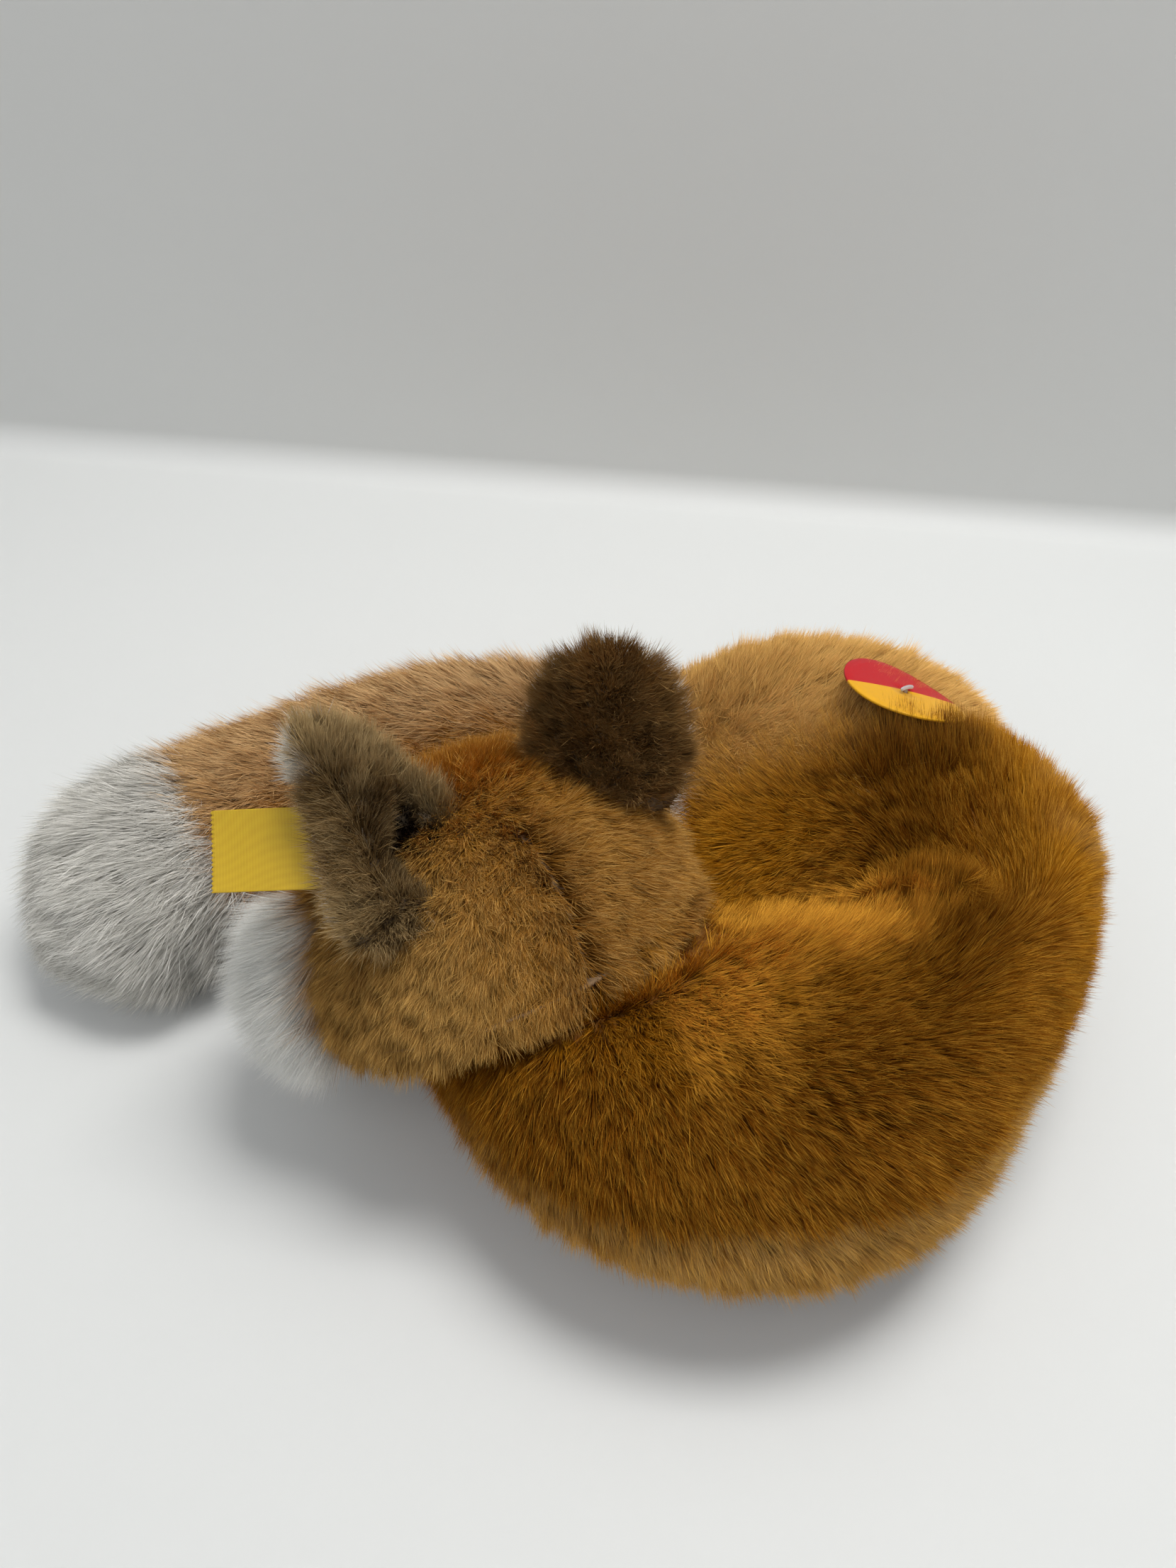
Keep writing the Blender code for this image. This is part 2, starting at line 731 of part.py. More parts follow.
# Section of a limb that lies on the ground: sideways and height
LYING_SECTION_SHARES = (
    (1.0, 0.46),
    (0.9, 0.78),
    (0.56, 0.98),
    (0.0, 1.05),
    (-0.56, 0.98),
    (-0.9, 0.78),
    (-1.0, 0.46),
    (-0.86, 0.12),
    (-0.52, 0.0),
    (0.0, 0.0),
    (0.52, 0.0),
    (0.86, 0.12),
)


def lying_ring(place, heading, half_width, height):
    """A ring of a limb that lies on the ground, flat underneath, square to its heading."""
    across = Vector((heading.y, -heading.x, 0.0)).normalized()
    return [
        place + across * side * half_width + UP * rise * height
        for side, rise in LYING_SECTION_SHARES
    ]


def tail_rings():
    places = [tail_root + Vector((x, y, 0.0)) * TAIL_LENGTH for x, y, _, _ in TAIL_RING_SHARES]
    places.append(tail_root + Vector((*TAIL_END_SHARE, 0.0)) * TAIL_LENGTH)
    rings = []
    for index, (_, _, wide, high) in enumerate(TAIL_RING_SHARES):
        before = places[max(index - 1, 0)]
        heading = places[index + 1] - before
        if index == 0:
            heading = Vector((-1.0, 0.0, 0.0))
        width = TAIL_WIDTH if index < TIP_FIRST_RING else TAIL_TIP_WIDTH
        rings.append(lying_ring(places[index], heading, wide * width * HALF, high * TAIL_HEIGHT))
    end = places[-1] + UP * TAIL_END_HEIGHT_SHARE * TAIL_HEIGHT
    return rings, end


def tail_panel(row, column):
    return "tail_cover" if row < TAIL_SEAM_ROW else "tail_tip_cover"


def make_tail():
    rings, end = tail_rings()
    root = sum(rings[0], Vector()) / len(rings[0])
    form = make_form("tail_form", loft(rings, tail_panel, root, end))
    root_cutter = box_cutter(
        "tail_end_cutter",
        Vector((tail_root.x - FIT_GAP, tail_root.y - TAIL_WIDTH, -OVERRUN)),
        Vector((tail_root.x + OVERRUN, tail_root.y + TAIL_WIDTH, TAIL_HEIGHT + OVERRUN)),
        Matrix.Identity(4),
    )
    cover = panel_of(form, "tail_cover", TAIL_PILE)
    tip = panel_of(form, "tail_tip_cover", TAIL_PILE)
    filling = stuffing_of(form, "tail_stuffing", TAIL_PILE)
    for piece in (cover, filling):
        subtract(piece, root_cutter)
    for piece in (cover, tip, filling):
        hang_on(piece, tail_pivot)


# Paws

# Rings of a paw from its root to its rounded end: way along, half width, height
PAW_RING_SHARES = (
    (0.0, 0.86, 0.9),
    (0.35, 0.9, 0.94),
    (0.68, 1.04, 1.04),
    (0.9, 0.84, 0.86),
)
PAW_END_SHARE = 1.0
PAW_END_HEIGHT_SHARE = 0.42
# Root of each paw in shares of the body's half sizes, and its heading in degrees
PAW_PLACES = {
    "forepaw_left": ((-0.86, -0.02), 133.0),
    "forepaw_right": ((-0.66, 0.1), 135.0),
    "hindpaw_inner": ((-0.28, 0.4), 168.0),
    "hindpaw_outer": ((0.12, 0.8), 160.0),
}


def paw_panel(row, column):
    return "paw_cover"


def make_paw(name, root_share, heading_degrees, seats):
    heading = Matrix.Rotation(math.radians(heading_degrees), 3, "Z") @ Vector((1.0, 0.0, 0.0))
    root = body_place(*root_share)
    rings = []
    for along, wide, high in PAW_RING_SHARES:
        place = root + heading * along * PAW_LENGTH
        rings.append(lying_ring(place, heading, wide * PAW_WIDTH * HALF, high * PAW_HEIGHT))
    end = root + heading * PAW_END_SHARE * PAW_LENGTH + UP * PAW_END_HEIGHT_SHARE * PAW_HEIGHT
    start = sum(rings[0], Vector()) / len(rings[0])
    open_form = make_form(name + "_form", loft(rings, paw_panel, None, end))
    closed_form = make_form(name + "_fill_form", loft(rings, paw_panel, start, end))
    cover = new_object(name + "_cover", evaluated_bmesh(open_form), parts)
    solidify(cover, PAW_PILE)
    smooth(cover)
    filling = stuffing_of(closed_form, name + "_stuffing", PAW_PILE)
    for piece in (cover, filling):
        for seat in seats:
            subtract(piece, seat)
    add_material(cover, PAW_COLOUR, 1.0)
    add_material(filling, STUFFING_COLOUR, 1.0)


# Ear label and hang tag

LABEL_STEPS = 6
LABEL_PLACE_SHARE = 0.17            # height of its middle on the ear
LABEL_HEADING = math.radians(182.0)
LABEL_DROP = math.radians(1.0)
LABEL_TILT = math.radians(38.0)     # lower edge hanging down


def label_frame(ear_frame_matrix, ear_trees):
    """The tape's frame: x along it, away from the ear, y across it, z out of its upper face."""
    heading = Vector((math.cos(LABEL_HEADING), math.sin(LABEL_HEADING), 0.0))
    along = heading * math.cos(LABEL_DROP) - UP * math.sin(LABEL_DROP)
    across = Matrix.Rotation(-LABEL_TILT, 3, along) @ UP.cross(heading)
    middle = ear_frame_matrix @ Vector((0.0, 0.0, LABEL_PLACE_SHARE * EAR_HEIGHT))
    outside = middle + along * (EAR_WIDTH + EAR_HEIGHT)
    nearest = []
    for side in (-1.0, -HALF, 0.0, HALF, 1.0):
        start = outside + across * side * LABEL_WIDTH * HALF
        for tree in ear_trees:
            _, _, _, distance = tree.ray_cast(start, -along)
            if distance is not None:
                nearest.append(distance)
    root = outside - along * (min(nearest) - FIT_GAP - LABEL_THICKNESS)
    return local_frame(along, across, along.cross(across), root)


def make_label(pivot, frame):
    """A strip of woven tape that stands out of the ear's outer seam."""
    bm = bmesh.new()
    bmesh.ops.create_grid(bm, x_segments=LABEL_STEPS, y_segments=2, size=HALF)
    size = Matrix.Diagonal((LABEL_LENGTH, LABEL_WIDTH, 1.0, 1.0))
    middle = Matrix.Translation((LABEL_LENGTH * HALF, 0.0, 0.0))
    bmesh.ops.transform(bm, matrix=frame @ middle @ size, verts=bm.verts)
    label = new_object("ear_label", bm, parts)
    solidify(label, LABEL_THICKNESS)
    label.modifiers["Cloth"].offset = 0.0
    hang_on(label, pivot)


TAG_PLACE_SHARE = (0.33, 0.4)
TAG_SEGMENTS = 32
FASTENER_SEGMENTS = 10
FASTENER_STEM_SHARE = 0.8         # the stem is thinner than the bar across its top


def cylinder(bm, diameter, depth, segments, matrix):
    radius = diameter * HALF
    bmesh.ops.create_cone(
        bm, cap_ends=True, segments=segments, radius1=radius, radius2=radius, depth=depth,
        matrix=matrix,
    )


def tag_frame(haunch_tree):
    """The place where the fastener leaves the cover of the haunch, with z square to the card."""
    above = body_place(*TAG_PLACE_SHARE) + UP * (HAUNCH_HEIGHT + OVERRUN)
    place, _ = surface_hit(haunch_tree, above, -UP)
    down_slope = Matrix.Rotation(TAG_TILT_HEADING, 3, "Z") @ Vector((1.0, 0.0, 0.0))
    out = UP * math.cos(TAG_TILT) + down_slope * math.sin(TAG_TILT)
    across = out.cross(UP).normalized()
    return local_frame(across, out.cross(across), out, place)


def make_tag(frame, pivot):
    """A round card on a nylon fastener that comes up out of the fur through its middle."""
    disc_middle = Matrix.Translation((0.0, 0.0, FASTENER_SLACK))
    bm = bmesh.new()
    cylinder(bm, TAG_DIAMETER, TAG_THICKNESS, TAG_SEGMENTS, frame @ disc_middle)
    disc = new_object("tag_disc", bm, parts)
    bm = bmesh.new()
    cylinder(bm, TAG_HOLE_DIAMETER, TAG_THICKNESS + OVERRUN, FASTENER_SEGMENTS, frame @ disc_middle)
    hole = new_object("tag_hole_cutter", bm, cutters)
    as_guide(hole)
    subtract(disc, hole)
    hang_on(disc, pivot)
    top = FASTENER_SLACK + TAG_THICKNESS * HALF + FIT_GAP + FASTENER_DIAMETER
    bar_height = top - FASTENER_DIAMETER * HALF
    stem = Matrix.Translation((0.0, 0.0, (bar_height + FIT_GAP) * HALF))
    stem_diameter = FASTENER_DIAMETER * FASTENER_STEM_SHARE
    bm = bmesh.new()
    cylinder(bm, stem_diameter, bar_height - FIT_GAP, FASTENER_SEGMENTS, frame @ stem)
    fastener = new_object("tag_fastener", bm, parts)
    lifted = Matrix.Translation((0.0, 0.0, bar_height))
    lying = lifted @ Matrix.Rotation(math.pi * HALF, 4, "Y")
    bm = bmesh.new()
    cylinder(bm, FASTENER_DIAMETER, FASTENER_BAR, FASTENER_SEGMENTS, frame @ lying)
    bar = new_object("fastener_bar", bm, cutters)
    as_guide(bar)
    join = fastener.modifiers.new("Bar", "BOOLEAN")
    join.operation = "UNION"
    join.object = bar


# Assembly

def surface_tree(item):
    """A search tree over an object's surface in world space."""
    bm = evaluated_bmesh(item)
    tree = BVHTree.FromBMesh(bm)
    bm.free()
    return tree


def stand_on_origin():
    """Moves everything so that the origin is the bottom centre of the bounding box."""
    corners = []
    for item in parts.objects:
        if item.type != "MESH":
            continue
        bm = evaluated_bmesh(item)
        corners.extend(vert.co.copy() for vert in bm.verts)
        bm.free()
    low = Vector(min(corner[axis] for corner in corners) for axis in range(3))
    high = Vector(max(corner[axis] for corner in corners) for axis in range(3))
    shift = Vector((-(low.x + high.x) * HALF, -(low.y + high.y) * HALF, -low.z))
    for item in list(parts.objects) + list(cutters.objects):
        if item.parent is None:
            item.location += shift
    bpy.context.view_layer.update()
    return shift


clear_scene()
parts = new_collection("plush_fox")
cutters = new_collection("cutters")
head_pivot = add_pivot("head_pivot", neck_fold)
tail_pivot = add_pivot("tail_pivot", tail_root + Vector((0.0, TAIL_WIDTH * HALF, 0.0)))
body_form = make_form("body_form", body_cage())
head_form = make_head_form()
make_body(body_form, head_sweep(head_form))
body_cutter = grown_copy(body_form, "body_cutter", FIT_GAP)
haunch_form = make_haunch(body_cutter)
haunch_cutter = grown_copy(haunch_form, "haunch_cutter", FIT_GAP)
make_head(head_form, under_neck("under_head_cutter", FIT_GAP))
head_tree = surface_tree(head_form)
make_nose(grown_copy(head_form, "head_cutter", FIT_GAP))
for side_name, side in (("left", -1.0), ("right", 1.0)):
    make_eyelid("eyelid_" + side_name, side, head_tree)
    frame = ear_frame(side_name, side, head_tree)
    ear_pivot = add_pivot("ear_" + side_name + "_pivot", frame.translation)
    ear_layers = make_ear("ear_" + side_name, ear_pivot, frame, head_form)
    if side_name == "left":
        tape_frame = label_frame(frame, [surface_tree(layer) for layer in ear_layers])
        make_label(add_pivot("label_pivot", tape_frame.translation), tape_frame)
make_tail()
for paw_name, (root_share, heading_degrees) in PAW_PLACES.items():
    seats = [body_cutter, haunch_cutter] if paw_name == "hindpaw_outer" else [body_cutter]
    make_paw(paw_name, root_share, heading_degrees, seats)
card_frame = tag_frame(surface_tree(haunch_form))
make_tag(card_frame, add_pivot("tag_pivot", card_frame.translation))
for item in parts.objects:
    if item.name in PIECE_COLOURS:
        add_material(item, *PIECE_COLOURS[item.name])
curl_shift = stand_on_origin()
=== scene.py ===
import json
import math
import bmesh
import bpy
import numpy as np
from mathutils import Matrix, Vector


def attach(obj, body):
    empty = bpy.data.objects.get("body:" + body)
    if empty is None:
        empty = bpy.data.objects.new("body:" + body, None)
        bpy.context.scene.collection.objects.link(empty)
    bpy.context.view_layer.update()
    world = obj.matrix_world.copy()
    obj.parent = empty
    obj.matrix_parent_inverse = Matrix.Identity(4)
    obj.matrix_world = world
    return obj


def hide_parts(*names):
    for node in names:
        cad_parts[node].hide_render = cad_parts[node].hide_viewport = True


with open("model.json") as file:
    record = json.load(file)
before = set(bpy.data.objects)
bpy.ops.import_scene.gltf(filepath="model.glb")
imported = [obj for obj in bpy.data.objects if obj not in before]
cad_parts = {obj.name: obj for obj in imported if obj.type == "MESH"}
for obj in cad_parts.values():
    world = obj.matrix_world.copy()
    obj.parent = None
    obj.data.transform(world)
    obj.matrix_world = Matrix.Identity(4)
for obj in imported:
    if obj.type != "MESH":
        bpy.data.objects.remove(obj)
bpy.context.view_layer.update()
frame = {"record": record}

joints = {joint["name"]: joint for joint in frame["record"]["behaviour"]["joints"]}
up = np.array((0.0, 0.0, 1.0))
overFloor = {"skin": 0.0003, "hair": 0.0004}  # lowest a skin or a hair comes to the table


def sizes(vectors):
    # the length of each vector
    return np.linalg.norm(vectors, axis=-1)


def unit(vectors):
    # each vector divided by its own length
    return vectors / np.maximum(sizes(vectors)[..., None], 1e-12)


def turned(vector, axis, angle):
    # Rodrigues: the part along the axis stays, the rest turns by the angle
    vector, axis = np.asarray(vector, float), unit(np.asarray(axis, float))
    along = axis * (vector @ axis)
    return along + (vector - along) * math.cos(angle) + np.cross(axis, vector) * math.sin(angle)


def step(low, high, values):
    # smooth step: 0 under low, 1 over high, 3t2 - 2t3 between them
    t = np.clip((values - low) / (high - low), 0.0, 1.0)
    return t * t * (3.0 - 2.0 * t)


def hill(values, width):
    # a bell: e to the minus square of the value over the width
    return np.exp(-(values / width) ** 2)


def sineSet(seed, count):
    # random directions with lengths near 1, and a phase for each
    random = np.random.default_rng(seed)
    aims = unit(random.normal(size=(count, 3))) * random.uniform(0.7, 1.5, (count, 1))
    return aims, random.uniform(0.0, math.tau, count)


def waves(points, scale, seed, count=14):
    # soft noise from -1 to 1: a sum of sines in random directions, with wavelengths near the scale
    aims, phases = sineSet(seed, count)
    total = np.sin(points @ (aims / scale).T * math.tau + phases).sum(-1) / math.sqrt(count)
    return np.clip(total, -1.6, 1.6) / 1.6


def uphill(points, scale, seed, count=14):
    # the direction in which a soft noise rises, near 1 in length: the gradient of a sum of sines
    aims, phases = sineSet(seed, count)
    return np.cos(points @ (aims.T * math.tau / scale) + phases) @ aims * math.sqrt(2 / count)


def splineWeights(count, places, closed):
    # weights of a uniform cubic B-spline at each place; an open one has one more point at each end
    base = np.floor(places).astype(int)
    if not closed:
        base = np.minimum(base, count - 2)
    f = places - base
    weights = np.stack([(1 - f) ** 3, 3 * f ** 3 - 6 * f ** 2 + 4,
                        -3 * f ** 3 + 3 * f ** 2 + 3 * f + 1, f ** 3]) / 6
    matrix = np.zeros((len(places), count + (0 if closed else 2)))
    rows = np.arange(len(places))
    for offset in range(4):
        column = (base + offset - 1) % count if closed else base + offset
        np.add.at(matrix, (rows, column), weights[offset])
    return matrix


def drawnOut(values, places):
    # an open B-spline through a list of values, which runs straight on past both ends
    values = np.asarray(values, float)
    longer = np.concatenate([2 * values[:1] - values[1:2], values, 2 * values[-1:] - values[-2:-1]])
    return splineWeights(len(values), places, False) @ longer


class Form:
    # a smooth surface on a grid: points, outward normals, and unit tangents along both parameters
    def __init__(self, points):
        self.points = points
        self.across = unit(np.roll(points, -1, 0) - np.roll(points, 1, 0))
        self.along = unit(np.gradient(points, axis=1))
        normals = np.cross(self.across, self.along)
        for column, source in ((0, 1), (-1, -2)):
            ring = points[:, column]
            flat = sizes(ring - np.roll(ring, 1, 0)) < 1e-5
            flat |= np.roll(flat, -1)
            if flat.all():
                normals[:, column] = unit(normals[:, source]).mean(0)
            normals[flat, column] = normals[flat, source]
        centre = points.reshape(-1, 3).mean(0)
        if ((points - centre) * normals).sum() < 0:
            normals = -normals
        self.normals = unit(normals)
        self.u = np.arange(points.shape[0]) / points.shape[0]
        self.v = np.linspace(0.0, 1.0, points.shape[1])


def softForm(control, columns, rows, poles=True):
    # a closed B-spline across its first index and an open one along its second; past a pole the next
    # ring is the same ring half a turn on, and without poles the rows run straight on
    control = np.asarray(control, float)
    count = control.shape[0]
    if poles:
        before, after = (np.roll(control[:, k], count // 2, 0)[:, None] for k in (1, -2))
    else:
        before = 2 * control[:, :1] - control[:, 1:2]
        after = 2 * control[:, -1:] - control[:, -2:-1]
    around = splineWeights(count, np.arange(columns) / columns * count, True)
    upward = splineWeights(control.shape[1], np.linspace(0, control.shape[1] - 1, rows), False)
    points = np.einsum("ui,vj,ijk->uvk", around, upward, np.concatenate([before, control, after], 1))
    if poles:
        points[:, 0], points[:, -1] = points[:, 0].mean(0), points[:, -1].mean(0)
    return Form(points)


def gridMesh(name, points, closed=True, poles=(False, False)):
    # the grid's cells as four-sided faces; a pole's row is one point with a fan of triangles
    columns, rows = points.shape[:2]
    index = np.arange(columns * rows).reshape(columns, rows)
    if poles[0]:
        index[:, 0] = index[0, 0]
    if poles[1]:
        index[:, -1] = index[0, -1]
    after = np.roll(index, -1, 0) if closed else index[1:]
    index = index if closed else index[:-1]
    quads = np.stack([index[:, :-1], after[:, :-1], after[:, 1:], index[:, 1:]], -1).reshape(-1, 4)
    first, last = quads[:, 0] == quads[:, 1], quads[:, 2] == quads[:, 3]
    faces = quads[~(first | last)].tolist()
    faces += quads[first][:, [0, 2, 3]].tolist() + quads[last][:, :3].tolist()
    mesh = bpy.data.meshes.new(name)
    mesh.from_pydata(points.reshape(-1, 3).tolist(), [], faces)
    return mesh


def addObject(name, data):
    item = bpy.data.objects.new(name, data)
    bpy.context.scene.collection.objects.link(item)
    return item


def finishMesh(name, mesh, material, merge=0.0):
    # doubles are merged, loose points dropped and the faces turned outward
    bm = bmesh.new()
    bm.from_mesh(mesh)
    if merge:
        bmesh.ops.remove_doubles(bm, verts=bm.verts, dist=merge)
    bmesh.ops.delete(bm, geom=[vert for vert in bm.verts if not vert.link_faces], context="VERTS")
    bmesh.ops.recalc_face_normals(bm, faces=bm.faces)
    bm.to_mesh(mesh)
    bm.free()
    mesh.shade_smooth()
    mesh.materials.append(material)
    return addObject(name, mesh)


def dress(piece, body, nodes):
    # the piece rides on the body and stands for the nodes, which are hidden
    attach(piece, body)
    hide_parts(*nodes)


# materials: sockets as Python expressions

class Sock:
    def __init__(self, paint, socket):
        self.paint, self.socket = paint, socket

    def maths(self, operation, first, second):
        return self.paint.node("ShaderNodeMath", {"operation": operation}, {0: first, 1: second})

    def __add__(self, other):
        return self.maths("ADD", self, other)

    def __mul__(self, other):
        return self.maths("MULTIPLY", self, other)

    def __rsub__(self, other):
        return self.maths("SUBTRACT", other, self)

    def __gt__(self, other):
        return self.maths("GREATER_THAN", self, other)

    def __pow__(self, other):
        return self.maths("POWER", self, other)

    __radd__, __rmul__ = __add__, __mul__

    def clip(self):
        return self.paint.node("ShaderNodeClamp", {}, {"Value": self})


class Paint:
    # a material with one Principled shader, built from expressions
    def __init__(self, name):
        self.material = bpy.data.materials.new(name)
        self.material.use_nodes = True
        self.tree = self.material.node_tree
        self.shader = self.tree.nodes["Principled BSDF"]

    def node(self, kind, settings, inputs, output=0):
        made = self.tree.nodes.new(kind)
        for key, value in settings.items():
            setattr(made, key, value)
        for key, value in inputs.items():
            self.feed(made.inputs[key], value)
        return Sock(self, made.outputs[output])

    def feed(self, socket, value):
        if isinstance(value, Sock):
            self.tree.links.new(value.socket, socket)
        elif isinstance(value, (tuple, list, np.ndarray)):
            value = tuple(float(part) for part in value)
            socket.default_value = value + (1.0,) if socket.type == "RGBA" and len(value) == 3 else value
        else:
            socket.default_value = value

    def mix(self, factor, first, second):
        settings = {"data_type": "RGBA", "clamp_factor": True}
        return self.node("ShaderNodeMix", settings, {0: factor, 6: first, 7: second}, 2)

    def dimmed(self, colour, level):
        return self.node("ShaderNodeVectorMath", {"operation": "SCALE"}, {0: colour, "Scale": level})

    def split(self, kind, value):
        # a colour's or a vector's three parts
        first = self.node(kind, {}, {0: value})
        return [Sock(self, output) for output in first.socket.node.outputs[:3]]

    def channels(self, name):
        # the red, green and blue of a point attribute
        read = self.node("ShaderNodeAttribute", {"attribute_name": name}, {}, "Color")
        return self.split("ShaderNodeSeparateColor", read)

    def place(self):
        return self.node("ShaderNodeTexCoord", {}, {}, "Object")

    def noise(self, scale, detail):
        inputs = {"Vector": self.place(), "Scale": scale, "Detail": detail}
        return self.node("ShaderNodeTexNoise", {}, inputs)

    def bump(self, strength, distance, height):
        inputs = {"Strength": strength, "Distance": distance, "Height": height}
        return self.node("ShaderNodeBump", {}, inputs)

    def set(self, **values):
        for key, value in values.items():
            self.feed(self.shader.inputs[key.replace("_", " ")], value)
        return self.material


strandShade = {"root": 0.42, "gain": 1.35, "whiteLift": 0.4, "whiteTip": (0.86, 0.84, 0.79), "shine": 1.25,
               "roughness": 0.78, "gloss": 0.04}


def furMaterial(name, coat):
    # dark roots, a body colour and pale tips; masks lay the patches of other fur over the main one,
    # and white fur keeps a white tip
    paint = Paint(name)
    along, chance, patch = paint.channels("strand")
    masks = dict(zip(("first", "second", "third"), paint.channels("coat")))
    colour = paint.mix(patch, coat["main"], coat["streak"])
    for key, mask in masks.items():
        if key in coat:
            colour = paint.mix(mask, colour, coat[key])
    tip = paint.mix(coat["tipTint"], colour, coat["tip"])
    root = coat.get("root", strandShade["root"])
    depth = along * (1.0 - root) * strandShade["gain"] + root
    if "white" in coat:
        white = masks[coat["white"]]
        tip = paint.mix(white, tip, strandShade["whiteTip"])
        depth = white * strandShade["whiteLift"] + depth
    shine = (along ** 1.8) * (chance ** 1.5) * strandShade["shine"]
    # in a fold with painted shade the pale tips are left out
    if coat.get("deep"):
        shine = shine * (1.0 - masks["third"])
    colour = paint.mix(shine.clip(), colour, tip)
    level = depth.clip() * (chance * 0.3 + 0.86)
    return paint.set(Base_Color=paint.dimmed(colour, level), Roughness=strandShade["roughness"],
                     Specular_IOR_Level=strandShade["gloss"])


def backingMaterial(name, colour):
    # the knitted backing under the pile, with painted shade in its hollows
    paint = Paint(name)
    fine = paint.noise(900.0, 2.0)
    # painted shade: the colour is dimmed to 0.7 where the bump's noise is low
    knitShade = paint.mix(fine, np.array(colour) * 0.7, colour)
    return paint.set(Base_Color=knitShade, Roughness=0.95, Normal=paint.bump(0.4, 0.0004, fine))


# planting fur

def plant(form, count, seed, weight):
    # roots spread by area over the grid's cells, with the surface's directions there
    random = np.random.default_rng(seed)
    p = form.points
    after = lambda a: np.roll(a, -1, 0)
    a, b, c, d = p[:, :-1], after(p)[:, :-1], after(p)[:, 1:], p[:, 1:]
    area = sizes(np.cross(c - a, d - b)) / 2
    v = np.broadcast_to((form.v[:-1] + form.v[1:]) / 2, area.shape)
    area = area * np.clip(weight(a, form.normals[:, :-1], v), 0.0, None)
    chosen = random.choice(area.size, count, p=(area / area.sum()).ravel())
    i, j = np.unravel_index(chosen, area.shape)
    following = (i + 1) % p.shape[0]
    s, t = random.random((2, count, 1))
    blend = lambda g: ((g[i, j] * (1 - s) + g[following, j] * s) * (1 - t)
                       + (g[i, j + 1] * (1 - s) + g[following, j + 1] * s) * t)
    return {"place": blend(p), "normal": unit(blend(form.normals)), "across": unit(blend(form.across)),
            "along": unit(blend(form.along)), "u": form.u[i] + s[:, 0] / p.shape[0],
            "v": form.v[j] + t[:, 0] / (p.shape[1] - 1), "random": random}


# what each fur takes unless it has its own: small locks, stray hairs, the gap between the tufts, their
# pull, and how high the first bend is
plainFur = {"wisp": 0.35, "mess": 0.16, "tuft": 0.0048, "gather": 0.0011, "bent": False, "knee": 0.52,
            "sunk": 0.0006, "vary": (0.68, 1.16), "stray": 0.12}


